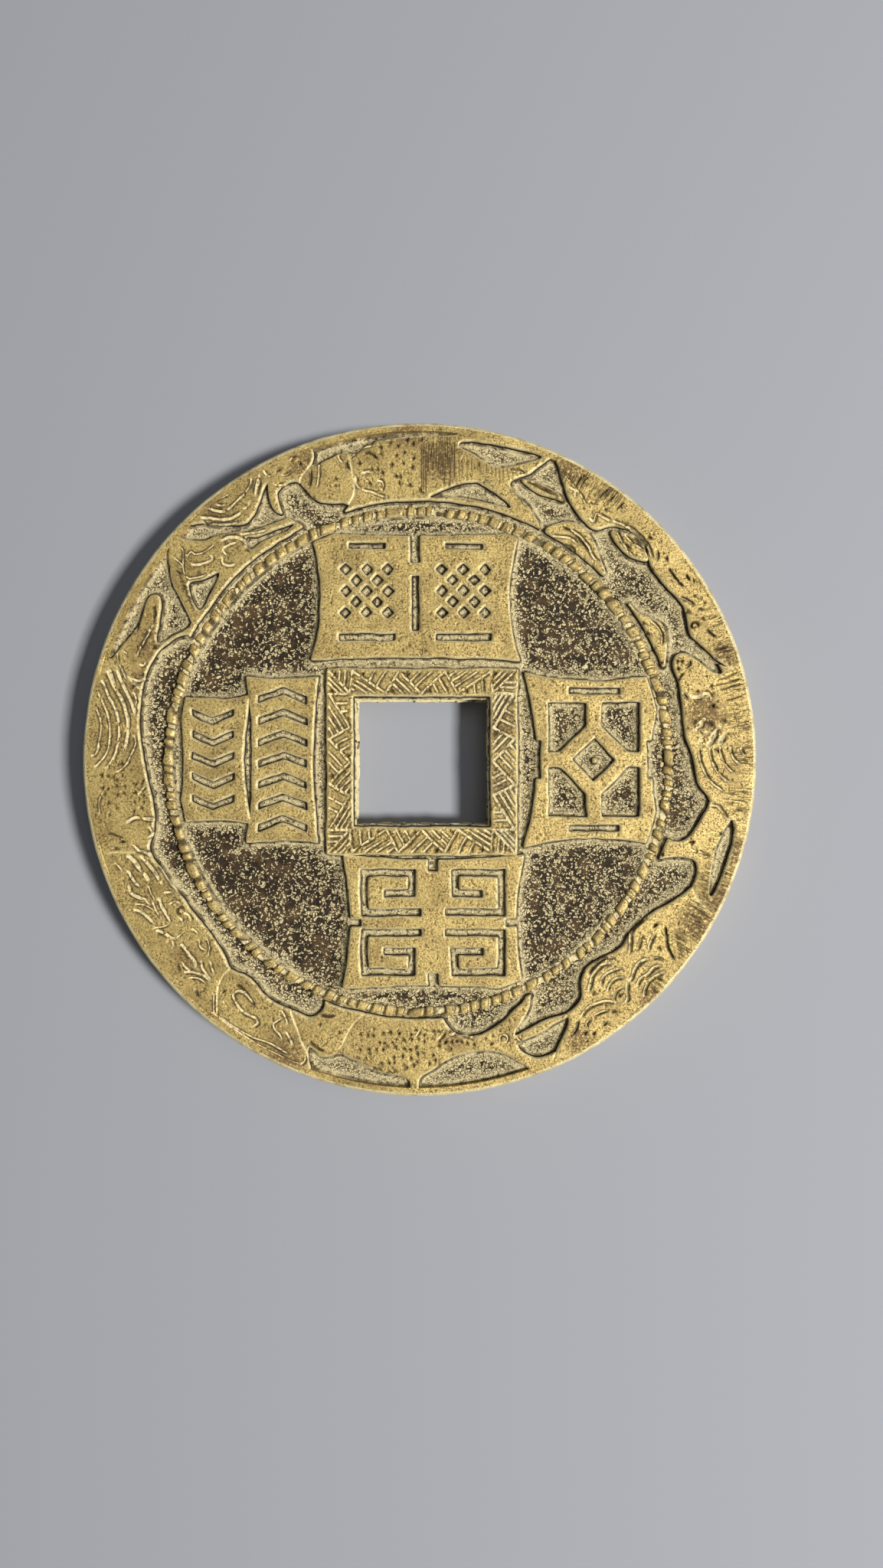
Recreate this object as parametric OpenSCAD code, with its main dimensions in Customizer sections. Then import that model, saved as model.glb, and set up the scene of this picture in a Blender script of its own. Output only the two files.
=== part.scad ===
// A large cast brass cash-style coin: a round flan with a square hole, a carved rim,
// a rope ring, a collar round the hole and four lattice panels in relief.
// It lies on its back: Z is up through the coin, and the bottom face is at Z = 0.

/* [Coin] */
// Diameter over the edge
coin_d = 60; // [59:0.5:61]
// Thickness over the raised rims
coin_t = 4; // [3:0.1:5]
// Height of the relief above the field, on each face
relief_h = 0.8; // [0.5:0.1:1]
// Width of the plain band round the edge
band_w = 0.8; // [0.6:0.1:1.2]
// Bevel along both corners of the edge
edge_bevel = 0.3; // [0.1:0.05:0.4]

/* [Square hole] */
// Width of the hole, left to right
hole_w = 12.2; // [10:0.1:13]
// Length of the hole, top to bottom
hole_l = 11.6; // [10:0.1:13]
// Width over the collar, left to right
collar_w = 17; // [16:0.1:17.2]
// Length over the collar, top to bottom
collar_l = 16.6; // [16:0.1:17]
// How far the hole and its collar sit right of the centre
hole_x = 0.2; // [-0.3:0.1:0.3]
// How far they sit above the centre
hole_y = -0.2; // [-0.3:0.1:0.3]

/* [Rope ring] */
// Diameter of the rope ring, middle to middle
rope_d = 44.7; // [44:0.1:44.8]
// How far the rope ring sits right of the centre
rope_x = -0.1; // [-0.1:0.1:0.1]
// How far the rope ring sits above the centre
rope_y = -0.2; // [-0.2:0.1:0.1]
// Width of the rope ring
rope_w = 0.9; // [0.6:0.1:1]
// Height of the rope ring above the field
rope_h = 0.7; // [0.4:0.1:0.8]

/* [Rim] */
// Inner diameter of the carved rim
rim_d = 46.2; // [46:0.1:46.4]
// Number of carved sectors on the plain back
back_sectors = 8; // [6:1:10]

/* [Panels] */
// Width of the narrow slots cut through the panels
slot_w = 0.7; // [0.5:0.05:0.9]
// Width of the top panel, before its sides bow in
panel_top_w = 18.6; // [17:0.1:19]
// Length of the top panel
panel_top_l = 11.4; // [11:0.1:11.6]
// Width of the bottom panel
panel_bottom_w = 16.2; // [15.8:0.1:17]
// Length of the bottom panel
panel_bottom_l = 12; // [11.6:0.1:12.2]
// Width of the right panel
panel_right_w = 12.6; // [12:0.1:12.8]
// Length of the right panel
panel_right_l = 15.6; // [15:0.1:16]
// Width of each of the left panel's two blocks
panel_left_w = 6.4; // [6:0.1:6.4]
// Length of the left panel's inner block; the outer one is shorter
panel_left_l = 14.8; // [14:0.1:15]

/* [Hidden] */
$fn = 96;
front_z = coin_t - relief_h;
flan_h = coin_t - 2 * relief_h;
rim_in = rim_d / 2;
rim_out = coin_d / 2 - band_w;
rope_gap = 0.4;
panel_reach = rope_d / 2 - rope_w / 2 - rope_gap;
panel_top_place = [-0.4, 14.5];
panel_bottom_place = [1.2, -14.5];
panel_left_place = [-15.3, 0];
panel_right_place = [15.5, 0];
curve_steps = 4;
arc_step = 6;
line_reach = coin_d * 0.56;
brass = [0.75, 0.65, 0.38];
field_brown = [0.42, 0.35, 0.25];
back_pitch = 360 / back_sectors;
FRONT_NODES = ["rope_ring_front", "hole_collar_front", "panel_top", "panel_bottom", "panel_left",
    "panel_right", "panel_right_stud", "fish_top_head", "fish_top_body", "serrated_band", "leaf_top",
    "leaf_right", "shell_lobe", "bulge_lobe", "whorl_right", "fin_right", "waves_right",
    "fish_bottom_body", "fish_bottom_head", "lobe_lower", "waves_left", "whorl_left", "horn_crest",
    "cloud_head", "wave_hump"];
BACK_RIM_NODES = [for (i = [1:back_sectors]) str("rim_back_", i)];

// Rim outlines are lists of [degrees, radius]: degrees run anticlockwise from the right.
function from_polar(points) = [for (p = points) p[1] * [cos(p[0]), sin(p[0])]];

// One point on the round curve that passes through a, b, c and d, between b and c.
function on_curve(a, b, c, d, t) =
    0.5 * (2 * b + (c - a) * t + (2 * a - 5 * b + 4 * c - d) * t * t + (3 * b - a - 3 * c + d) * t * t * t);

// A closed outline through the points.
function round_loop(points) = let (p = from_polar(points), n = len(p)) [
    for (i = [0:n - 1])
        for (k = [0:curve_steps - 1])
            on_curve(p[(i + n - 1) % n], p[i], p[(i + 1) % n], p[(i + 2) % n], k / curve_steps)
];

// An open line through the points, with both ends kept.
function round_line(points) = let (p = from_polar(points), last = len(p) - 1) concat([
    for (i = [0:last - 1])
        for (k = [0:curve_steps - 1])
            on_curve(p[max(i - 1, 0)], p[i], p[i + 1], p[min(i + 2, last)], k / curve_steps)
], [p[last]]);

function reversed(points) = [for (i = [len(points) - 1:-1:0]) points[i]];

// Points along an arc, anticlockwise from one angle to the next.
function arc(radius, from, to) =
    let (sweep = (to < from ? to + 360 : to) - from, steps = max(1, ceil(sweep / arc_step)))
    [for (i = [0:steps]) radius * [cos(from + sweep * i / steps), sin(from + sweep * i / steps)]];

// Lines that part the carved rim, each from inside the rim to outside it.
line_band_end = [[18, 22.6], [20, 23.5], [23, 24.8], [22, 26.4], [18, 27.7], [16, 29.2], [16, 30.6]];
line_fish_tail = [[62, 22.6], [63, 23.4], [66, 25], [68, 26.5], [67, 28], [66, 29.2], [66, 30.6]];
line_fish_gill = [[107, 22.6], [107, 23.1], [104, 24.2], [103, 26], [103, 28], [103, 30.6]];
line_snout = [[116, 22.6], [116, 23.5], [114, 25.5], [113, 27], [110, 28], [109, 29.2], [109, 30.6]];
line_hump = [[116, 22.6], [117, 23.5], [119, 24.6], [123, 25.1], [127, 25.8], [131, 27], [134, 28.2],
    [136, 29.4], [137, 30.6]];
line_cloud = [[148, 22.6], [149, 23.8], [148, 25.5], [146, 27.4], [143, 28.6], [140, 29.4], [139, 30.6]];
line_horn = [[167, 22.6], [166, 25.5], [164, 27], [163, 28.2], [163, 30.6]];
line_whorl_left = [[200, 22.6], [199, 24.5], [198, 26.5], [197, 28.5], [197, 30.6]];
line_waves_left = [[229, 22.6], [228, 25], [228, 26.2], [229, 27.4], [232, 29.2], [233, 30.6]];
line_chin = [[241, 22.6], [243, 25], [246, 26.4], [248, 27.4], [251, 28.6], [253, 30.6]];
line_low_gill = [[259, 22.6], [256, 24.3], [255, 26.3], [254, 27.5], [253, 30.6]];
line_low_tail = [[296, 22.6], [299, 24.6], [300, 26.2], [299, 27.2], [295, 28.6], [293, 30.6]];
line_fin = [[334, 22.6], [337, 25.2], [335, 26.8], [333, 28], [332, 30.6]];
line_whorl_right = [[347, 22.6], [350, 24.8], [352, 26], [350, 27.4], [349, 28.3], [351, 30.6]];

// Hollows in the carved rim, each a closed outline.
pit_over_fish = [[110, 27.9], [109, 30], [100, 30], [90, 30], [83, 29.8], [84, 29], [90, 28.8], [98, 28.5],
    [102, 27.8], [104, 28.2], [107, 27.9]];
pit_under_snout = [[118, 27], [114, 27.1], [112, 25], [110, 24.3], [106, 23.7], [106, 22.6], [112, 22.4],
    [116, 22.4], [118, 23.5], [119, 24.4], [119, 25.5]];
pit_over_tail = [[83, 28.2], [81, 28.7], [74, 28.9], [68, 29.1], [71, 27.8], [74, 27], [77, 27], [80, 27.6]];
pit_under_belly = [[88, 23.4], [84, 24.3], [79, 25.2], [77, 25.1], [74, 24.6], [70, 23.8], [75, 23.6],
    [81, 23.6]];
pit_in_fin = [[349, 28.2], [347, 28.7], [343, 28.8], [336, 28.8], [335, 28.4], [339, 27.8], [344, 27.5]];
pit_lower_right = [[340, 25.8], [336, 26.8], [331, 25.8], [326, 24.6], [320, 24.3], [317, 24.5], [313, 24],
    [309, 23.7], [306, 24.4], [304, 25.6], [300, 26], [295, 25.7], [289, 26], [292, 24.8], [294, 24],
    [297, 22.7], [310, 22.4], [325, 22.4], [336, 22.6]];
pit_low_tail = [[289, 26.8], [294, 26.6], [300, 26.4], [299, 27.2], [297, 28], [295, 28.6], [291, 28.4]];
pit_over_low_fish = [[275, 22.8], [280, 22.8], [287, 22.8], [294, 23.1], [290, 24], [287, 24.5], [283, 25],
    [280, 25], [277, 24.5]];
pit_bottom = [[270, 28.6], [272, 27.7], [276, 26.7], [281, 26.4], [285, 26.9], [288, 28.2], [289, 29.6],
    [280, 30], [271, 29.8]];
pit_chin = [[249, 27.4], [252, 27.9], [255, 27.1], [258, 27.4], [262, 28], [268, 28.5], [267, 29.8],
    [260, 30], [252, 29.8]];
pit_left = [[152, 23.7], [156, 24.9], [161, 25.4], [166, 25.5], [172, 25.2], [177, 24.8], [182, 24.4],
    [190, 24], [195, 24.4], [199, 25.3], [207, 24.6], [212, 24.3], [218, 24.2], [225, 24.6], [228, 25],
    [232, 24.6], [238, 25.2], [243, 25], [247, 24.9], [249, 23.7], [247, 22.7], [238, 22.5], [222, 22.5],
    [206, 22.5], [190, 22.5], [174, 22.5], [160, 22.5], [153, 22.7]];
pit_horn = [[139, 29.8], [142, 28.4], [145, 26.7], [147, 25], [149, 23.7], [151, 23.8], [153, 24.5],
    [156, 25.6], [150, 26.6], [148, 27.4], [149, 28.1], [152, 27.9], [155, 27.8], [159, 28.3], [162, 28.9],
    [159, 30], [150, 30]];
pit_beak = [[143, 25.8], [140, 25], [137, 24.4], [139, 23.9], [142, 23.7], [146, 23.7]];
pit_arch = [[137, 30], [133, 28.7], [131, 27.6], [127, 26.2], [124, 26.4], [122, 27], [119, 28.1],
    [120, 26.8], [120, 25.4], [118, 24.5], [122, 24.8], [126, 25.2], [130, 26.3], [133, 27],
    [135, 27.5], [137, 28.8]];
pit_arm = [[128, 25.1], [126, 24.5], [122, 24.2], [118, 23.8], [120, 23.6], [125, 23.9], [129, 24]];
channel_inner_side = [[62, 23.5], [59, 24.7], [56, 25.2], [52, 24.9], [48, 24], [44, 23.2], [38, 22.9],
    [34, 23.4], [30, 24.5], [27, 24.6], [23, 23.8], [20, 22.8], [10, 22.6], [0, 22.6],
    [350, 22.6], [343, 22.8]];
channel_fin_side = [[343, 24.6], [348, 25.5], [352, 26], [355, 24.9], [0, 24.3], [6, 23.7], [15, 24],
    [20, 24], [22, 24.5], [22, 25.3], [20, 26.1], [17, 27], [16, 28]];
channel_band_side = [[19, 27.7], [22, 27], [25, 26.5], [30, 27.1], [36, 26.7], [40, 26.8], [43, 27.7],
    [46, 28], [49, 27.4], [51, 26.7], [53, 25.6], [57, 25.9], [60, 26.6], [63, 27.9], [66, 29.3]];
channel_tail_side = [[68, 28], [69, 27.2], [72, 25.9], [70, 25.1], [67, 24.6]];
pit_channel = concat(channel_inner_side, channel_fin_side, channel_band_side, channel_tail_side);
inside_band = concat([[14, 29.2]], channel_band_side,
    [[70, 28.5], [72, 26], [68, 22.4], [52, 22.4], [34, 22.4], [18, 22.4]]);

// Raised outlines that stand alone.
outline_leaf_top = [[70, 26.4], [68, 26.7], [64, 26.7], [61, 26.4], [63, 26.1], [66, 25.9]];
outline_leaf_right = [[50, 26.6], [48, 27.2], [46, 27.7], [43, 27.4], [41, 26.9], [43, 26.2], [45, 25.9],
    [48, 26]];
outline_shell_lobe = [[61.5, 23.3], [59, 24.7], [56, 25.2], [52, 24.9], [48, 24], [45, 23.3], [48, 22.6],
    [58, 22.6]];
outline_bulge_lobe = [[37, 23.2], [34, 23.4], [30, 24.5], [27, 24.6], [23, 23.8], [21, 23.2], [24, 22.6],
    [34, 22.6]];

module ring_face(inner, outer) {
    difference() {
        circle(outer);
        circle(inner);
    }
}

// Raises a flat drawing from the field to the rim's height, on the front or on the back.
module front_relief() {
    translate([0, 0, front_z]) linear_extrude(relief_h) children();
}

module back_relief() {
    linear_extrude(relief_h) children();
}

// The part of the rim between two parting lines, less its hollows.
module rim_sector(from_line, to_line, pits = []) {
    from = from_line[0][0];
    to = to_line[0][0];
    far_from = from_line[len(from_line) - 1][0];
    far_to = to_line[len(to_line) - 1][0];
    difference() {
        intersection() {
            ring_face(rim_in, rim_out);
            polygon(concat(round_line(from_line), arc(line_reach, far_from, far_to),
                reversed(round_line(to_line)), reversed(arc(rim_in - 2, from, to))));
        }
        for (pit = pits) polygon(round_loop(pit));
    }
}

// A raised piece that stands alone in a hollow of the rim.
module rim_island(outline) {
    intersection() {
        ring_face(rim_in, rim_out);
        polygon(round_loop(outline));
    }
}

// The edge from a to b, bowed inwards by dip on a shape that runs anticlockwise.
function bowed(a, b, dip, steps = 6) = let (along = b - a, side = [-along[1], along[0]] / norm(along)) [
    for (i = [0:steps - 1])
        let (t = i / steps)
        a + along * t + side * dip * 4 * t * (1 - t)
];

// A rectangle whose corners flare out because each side bows in.
module flared_panel(w, l, dip_ends, dip_sides) {
    polygon(concat(
        bowed([-w / 2, -l / 2], [w / 2, -l / 2], dip_ends),
        bowed([w / 2, -l / 2], [w / 2, l / 2], dip_sides),
        bowed([w / 2, l / 2], [-w / 2, l / 2], dip_ends),
        bowed([-w / 2, l / 2], [-w / 2, -l / 2], dip_sides)
    ));
}

module slot(x, y, w, l) {
    translate([x, y]) square([w, l], center = true);
}

// A panel's face: its corners stop short of the rope ring.
module panel_face() {
    intersection() {
        circle(panel_reach);
        children();
    }
}

module both_sides() {
    children();
    mirror([1, 0]) children();
}

module both_ends() {
    children();
    mirror([0, 1]) children();
}

module flan() {
    color(field_brown) translate([0, 0, relief_h]) difference() {
        cylinder(r = rim_out, h = flan_h);
        translate([hole_x, hole_y, flan_h / 2]) cube([hole_w, hole_l, flan_h + 2], center = true);
    }
}

module edge_band() {
    outer = coin_d / 2;
    color(brass) rotate_extrude() polygon([
        [rim_out, 0], [outer - edge_bevel, 0], [outer, edge_bevel],
        [outer, coin_t - edge_bevel], [outer - edge_bevel, coin_t], [rim_out, coin_t]
    ]);
}

// The rope ring's plain body, standing on the field.
module rope_ring() {
    middle = rope_d / 2;
    foot = rope_w / 2;
    crown = rope_w / 4;
    rotate_extrude() polygon([
        [middle - foot, 0], [middle + foot, 0], [middle + foot, rope_h * 0.6],
        [middle + crown, rope_h], [middle - crown, rope_h], [middle - foot, rope_h * 0.6]
    ]);
}

module rope_ring_front() {
    color(brass) translate([rope_x, rope_y, front_z]) rope_ring();
}

module rope_ring_back() {
    color(brass) translate([rope_x, rope_y, relief_h]) mirror([0, 0, 1]) rope_ring();
}

module collar_face() {
    translate([hole_x, hole_y]) difference() {
        square([collar_w, collar_l], center = true);
        square([hole_w, hole_l], center = true);
    }
}

module hole_collar_front() {
    color(brass) front_relief() collar_face();
}

module hole_collar_back() {
    color(brass) back_relief() collar_face();
}

// Two windows side by side, each filled with a lattice of square holes.
module panel_top() {
    window_x = 4.3;
    pitch = 1.9;
    lattice_top = 2.4;
    color(brass) front_relief() panel_face() translate(panel_top_place) difference() {
        flared_panel(panel_top_w, panel_top_l, 0.3, 0.9);
        slot(0, 4.6, slot_w * 1.3, 3.2);
        slot(0, -0.6, slot_w, 5);
        both_sides() {
            for (column = [-1:1])
                for (row = [0:2])
                    lattice_hole(window_x + pitch * column, lattice_top - pitch * row);
            for (column = [-0.5, 0.5])
                for (row = [0.5, 1.5])
                    lattice_hole(window_x + pitch * column, lattice_top - pitch * row);
            slot(window_x, -3.6, 5, slot_w);
            slot(window_x, 4.5, 3.4, slot_w * 0.8);
        }
    }
}

module lattice_hole(x, y) {
    translate([x, y]) rotate(45) square(slot_w * 1.2, center = true);
}

// A key fret: four square spirals, one in each quarter.
module panel_bottom() {
    notch_y = 5.4;
    color(brass) front_relief() panel_face() translate(panel_bottom_place) difference() {
        flared_panel(panel_bottom_w, panel_bottom_l, 0.4, 0.7);
        both_sides() both_ends() fret_spiral();
        both_ends() slot(0, notch_y, slot_w * 1.4, 1.8);
        both_sides() slot(7.2, 0, 1.6, slot_w);
    }
}

// One square spiral groove, from its open end near the middle to its eye.
module fret_spiral() {
    slot(3.7, 0.9, 5.4, slot_w);
    slot(6.1, 2.7, slot_w, 4.2);
    slot(4, 4.4, 4.8, slot_w);
    slot(1.9, 3.5, slot_w, 2.4);
    slot(3, 2.6, 2.8, slot_w);
}

// A tall block beside a shorter one, both cut with rows of chevrons.
module panel_left() {
    inner_x = 3.1;
    outer_x = -3;
    outer_l = panel_left_l - 3.4;
    pitch = 1.9;
    rise = 0.8;
    color(brass) front_relief() panel_face() translate(panel_left_place) {
        difference() {
            translate([inner_x, 0]) flared_panel(panel_left_w, panel_left_l, 0.2, 0.5);
            for (row = [-3:3]) chevron(inner_x, pitch * row, 4.4, rise);
        }
        difference() {
            translate([outer_x, 0]) flared_panel(panel_left_w, outer_l, 0.3, 0.5);
            for (row = [-2:2]) chevron(outer_x - 0.1, pitch * row, 3.8, -rise);
        }
    }
}

// A V-shaped groove of width w whose middle is offset by rise.
module chevron(x, y, w, rise) {
    half = slot_w / 2;
    translate([x, y]) polygon([
        [-w / 2, -half - rise / 2], [0, -half + rise / 2], [w / 2, -half - rise / 2],
        [w / 2, half - rise / 2], [0, half + rise / 2], [-w / 2, half - rise / 2]
    ]);
}

// A frame of flared bars round a lozenge, with a low pyramid inside it.
module panel_right() {
    window = [8.2, 10.2];
    lozenge = 5.2;
    lozenge_hole = 2.8;
    bar_w = 1.3;
    color(brass) front_relief() panel_face() translate(panel_right_place) difference() {
        flared_panel(panel_right_w, panel_right_l, 0.8, 1.2);
        difference() {
            square(window, center = true);
            rotate(45) square(lozenge, center = true);
            square([window[0] + 0.2, bar_w], center = true);
            square([bar_w, window[1] + 0.2], center = true);
        }
        rotate(45) square(lozenge_hole, center = true);
        both_ends() slot(0, 6.1, 4.6, slot_w * 0.9);
        both_sides() slot(5, 0, slot_w * 0.8, 3.4);
    }
}

module panel_right_stud() {
    foot = 1.2;
    crown = 0.3;
    height = relief_h * 0.8;
    color(brass) translate([panel_right_place[0], panel_right_place[1], front_z]) rotate(45)
        rotate_extrude($fn = 4) polygon([[0, 0], [foot, 0], [crown, height], [0, height]]);
}

module fish_top_head() {
    color(brass) front_relief() rim_sector(line_fish_gill, line_snout, [pit_over_fish, pit_under_snout]);
}

module fish_top_body() {
    color(brass) front_relief()
        rim_sector(line_fish_tail, line_fish_gill,
            [pit_over_fish, pit_over_tail, pit_under_belly, pit_channel]);
}

module serrated_band() {
    color(brass) front_relief() rim_sector(line_band_end, line_fish_tail, [inside_band]);
}

module leaf_top() {
    color(brass) front_relief() rim_island(outline_leaf_top);
}

module leaf_right() {
    color(brass) front_relief() rim_island(outline_leaf_right);
}

module shell_lobe() {
    color(brass) front_relief() rim_island(outline_shell_lobe);
}

module bulge_lobe() {
    color(brass) front_relief() rim_island(outline_bulge_lobe);
}

module whorl_right() {
    color(brass) front_relief() rim_sector(line_whorl_right, line_band_end, [pit_channel]);
}

module fin_right() {
    color(brass) front_relief()
        rim_sector(line_fin, line_whorl_right, [pit_channel, pit_in_fin, pit_lower_right]);
}

module waves_right() {
    color(brass) front_relief() rim_sector(line_low_tail, line_fin, [pit_lower_right]);
}

module fish_bottom_body() {
    color(brass) front_relief() rim_sector(line_low_gill, line_low_tail,
        [pit_lower_right, pit_low_tail, pit_over_low_fish, pit_bottom, pit_chin]);
}

module fish_bottom_head() {
    color(brass) front_relief() rim_sector(line_chin, line_low_gill, [pit_left, pit_chin]);
}

module lobe_lower() {
    color(brass) front_relief() rim_sector(line_waves_left, line_chin, [pit_left, pit_chin]);
}

module waves_left() {
    color(brass) front_relief() rim_sector(line_whorl_left, line_waves_left, [pit_left]);
}

module whorl_left() {
    color(brass) front_relief() rim_sector(line_horn, line_whorl_left, [pit_left]);
}

module horn_crest() {
    color(brass) front_relief() rim_sector(line_cloud, line_horn, [pit_horn, pit_left]);
}

module cloud_head() {
    color(brass) front_relief()
        rim_sector(line_hump, line_cloud, [pit_horn, pit_arch, pit_beak, pit_arm, pit_left]);
}

module wave_hump() {
    color(brass) front_relief() rim_sector(line_snout, line_hump, [pit_under_snout, pit_arch, pit_arm]);
}

// One carved sector of the back rim: a wave with a hollow on each side of its crest.
module rim_back(number) {
    parting = [[4, 22.6], [2, 25], [-1, 27.5], [0, 30.6]];
    next_parting = [for (p = parting) [p[0] + back_pitch, p[1]]];
    inner_hollow = [[9, 23.6], [15, 24.5], [back_pitch * 0.6, 24.4], [back_pitch * 0.85, 22.7], [9, 22.5]];
    outer_hollow = [[18, 30], [23, 27.7], [29, 27], [34, 27.9], [37, 30]];
    color(brass) rotate(back_pitch * (number - 1)) back_relief()
        rim_sector(parting, next_parting, [inner_hollow, outer_hollow]);
}

flan();
edge_band();
rope_ring_back();
hole_collar_back();
rope_ring_front();
hole_collar_front();
panel_top();
panel_bottom();
panel_left();
panel_right();
panel_right_stud();
fish_top_head();
fish_top_body();
serrated_band();
leaf_top();
leaf_right();
shell_lobe();
bulge_lobe();
whorl_right();
fin_right();
waves_right();
fish_bottom_body();
fish_bottom_head();
lobe_lower();
waves_left();
whorl_left();
horn_crest();
cloud_head();
wave_hump();
for (i = [1:back_sectors]) {
    rim_back(i);
}
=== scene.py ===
import math

import bpy
import numpy as np
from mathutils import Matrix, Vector
from mathutils.geometry import delaunay_2d_cdt
from mathutils.kdtree import KDTree


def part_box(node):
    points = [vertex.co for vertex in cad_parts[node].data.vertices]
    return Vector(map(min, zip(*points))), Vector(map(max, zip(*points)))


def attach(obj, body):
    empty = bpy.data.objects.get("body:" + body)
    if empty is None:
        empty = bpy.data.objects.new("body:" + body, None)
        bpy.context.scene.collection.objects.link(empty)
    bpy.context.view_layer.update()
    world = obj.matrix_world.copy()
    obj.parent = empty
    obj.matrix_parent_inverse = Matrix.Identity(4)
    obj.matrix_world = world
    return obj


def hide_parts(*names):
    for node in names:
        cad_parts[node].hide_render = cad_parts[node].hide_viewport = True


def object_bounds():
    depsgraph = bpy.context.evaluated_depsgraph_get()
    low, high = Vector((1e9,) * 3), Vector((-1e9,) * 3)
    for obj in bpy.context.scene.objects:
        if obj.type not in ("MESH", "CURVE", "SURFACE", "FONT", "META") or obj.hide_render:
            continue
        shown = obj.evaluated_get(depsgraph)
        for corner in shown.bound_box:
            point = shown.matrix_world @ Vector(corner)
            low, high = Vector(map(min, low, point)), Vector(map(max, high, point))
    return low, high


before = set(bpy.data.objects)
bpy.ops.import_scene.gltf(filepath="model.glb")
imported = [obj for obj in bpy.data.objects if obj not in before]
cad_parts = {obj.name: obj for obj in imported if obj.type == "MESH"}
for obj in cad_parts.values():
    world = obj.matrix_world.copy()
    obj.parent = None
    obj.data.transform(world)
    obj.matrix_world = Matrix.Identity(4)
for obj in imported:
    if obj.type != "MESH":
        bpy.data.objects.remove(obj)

# The coin lies flat at the origin with its front up. Plan positions are in millimetres on the
# coin, X right and Y up, and meshes are written in metres. The back is modelled as a front and
# turned over about Y.


def clear_defaults():
    """Removes the cube, lamp and camera that a new file starts with."""
    for name in ("Cube", "Light", "Camera"):
        thing = bpy.data.objects.get(name)
        if thing:
            bpy.data.objects.remove(thing)


clear_defaults()
CAD_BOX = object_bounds()
MM = 0.001
COIN_R = (CAD_BOX[1].x - CAD_BOX[0].x) / 2 / MM
COIN_T = (CAD_BOX[1].z - CAD_BOX[0].z) / MM
FIELD_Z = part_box("flan")[1].z / MM
RIM_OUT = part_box("flan")[1].x / MM
FRONT, BACK = 1, -1

# Modelling steps, in millimetres: the front's raised pieces, the front's field, and the back.
FINE = 0.12
FIELD_STEP = 0.17
COARSE = 0.26

# How far the raised pieces reach into the flan, and how deep the worn faces lie under the CAD's.
SUNK = 0.1
WORN = 0.04

# Brown tarnish on the front's raised faces: [X, Y, radius].
TARNISH = [
    [1.6, 26.3, 1.8], [13.3, 26, 1.6], [27.3, 9.2, 1.3], [25.2, 4.3, 1.7], [28.2, -8.5, 1.5],
    [27, -12.5, 1.8], [24.5, -14.5, 1.6], [-23.6, 10.3, 1.7], [-25, 6.8, 1.2], [-10.4, 26.4, 1.2],
    [7.1, 3.2, 1.8], [7, -1.8, 1.5], [-20.8, -18, 1.3], [-12, -26.2, 2], [3, -24.8, 1], [-18, 21.8, 1.4],
    [-1, 28.9, 1.6], [20.5, -21, 1], [14.2, -25, 1.2], [-9, -20.3, 1.4],
]

# Where file marks run square to the edge on the front: [X, Y, radius].
FILED = [
    [27.2, 9.6, 1.7], [28.2, 6.8, 1.6], [28.6, 3.6, 1.7], [28.8, 0.2, 1.7], [28.4, -3.4, 1.7],
    [27.9, -7, 1.9], [26.7, -10.6, 2.2], [25, -13.6, 2.2], [23.4, -16.3, 1.7], [16.9, 23.6, 1.8],
    [14.3, 25.3, 1.6], [26.3, 12.6, 1.5], [1.9, 27.8, 2], [21.2, -20.4, 1.2], [-20.9, 17.2, 1.2],
]
STAINS = {"tarnish": TARNISH, "filed": FILED}


# ---------------------------------------------------------------- noise and curves

def lattice_value(ix, iy, seed):
    """A repeatable number from -1 to 1 for each whole lattice point."""
    mask = np.uint64(0xFFFFFFFF)
    mixed = ix.astype(np.int64) * 374761393 + iy.astype(np.int64) * 668265263 + seed * 1442695041
    mixed = mixed.astype(np.uint64) & mask
    mixed = ((mixed ^ (mixed >> np.uint64(13))) * np.uint64(1274126177)) & mask
    mixed = mixed ^ (mixed >> np.uint64(16))
    return mixed.astype(float) / float(0xFFFFFFFF) * 2 - 1


def noise(x, y, size, seed=0):
    """Smooth noise from -1 to 1 whose bumps are about size across."""
    gx, gy = np.floor(x / size), np.floor(y / size)
    fx, fy = x / size - gx, y / size - gy
    fx, fy = fx * fx * (3 - 2 * fx), fy * fy * (3 - 2 * fy)
    low = lattice_value(gx, gy, seed) * (1 - fx) + lattice_value(gx + 1, gy, seed) * fx
    high = lattice_value(gx, gy + 1, seed) * (1 - fx) + lattice_value(gx + 1, gy + 1, seed) * fx
    return low * (1 - fy) + high * fy


def resample(line, step, closed=False):
    """Evenly spaced points along a polyline."""
    if closed:
        line = np.vstack([line, line[:1]])
    reach = np.concatenate([[0], np.cumsum(np.linalg.norm(np.diff(line, axis=0), axis=1))])
    count = max(2, int(round(reach[-1] / step)))
    at = np.linspace(0, reach[-1], count + 1)
    out = np.stack([np.interp(at, reach, line[:, 0]), np.interp(at, reach, line[:, 1])], 1)
    return out[:-1] if closed else out


def curve(points, steps=8):
    """A smooth open curve through X and Y points."""
    p = np.asarray(points, float)
    p = np.vstack([2 * p[0] - p[1], p, 2 * p[-1] - p[-2]])
    t = np.linspace(0, 1, steps, endpoint=False)[:, None]
    parts = []
    for a, b, c, d in zip(p, p[1:], p[2:], p[3:]):
        bend = (2 * a - 5 * b + 4 * c - d) * t ** 2 + (3 * b - a - 3 * c + d) * t ** 3
        parts.append(0.5 * (2 * b + (c - a) * t + bend))
    return np.vstack(parts + [p[-2:-1]])


def around(line, sigma, step):
    """A closed line with its corners rounded over about sigma."""
    reach = int(math.ceil(3 * sigma / step))
    offsets = np.arange(-reach, reach + 1)
    weights = np.exp(-0.5 * (offsets * step / sigma) ** 2)
    weights /= weights.sum()
    return sum(w * np.roll(line, -k, axis=0) for k, w in zip(offsets, weights))


def square_to(along):
    """Unit vectors square to the given ones, on their left."""
    return np.stack([-along[:, 1], along[:, 0]], 1) / np.linalg.norm(along, axis=1)[:, None]


# ---------------------------------------------------------------- outlines from the CAD nodes

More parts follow.
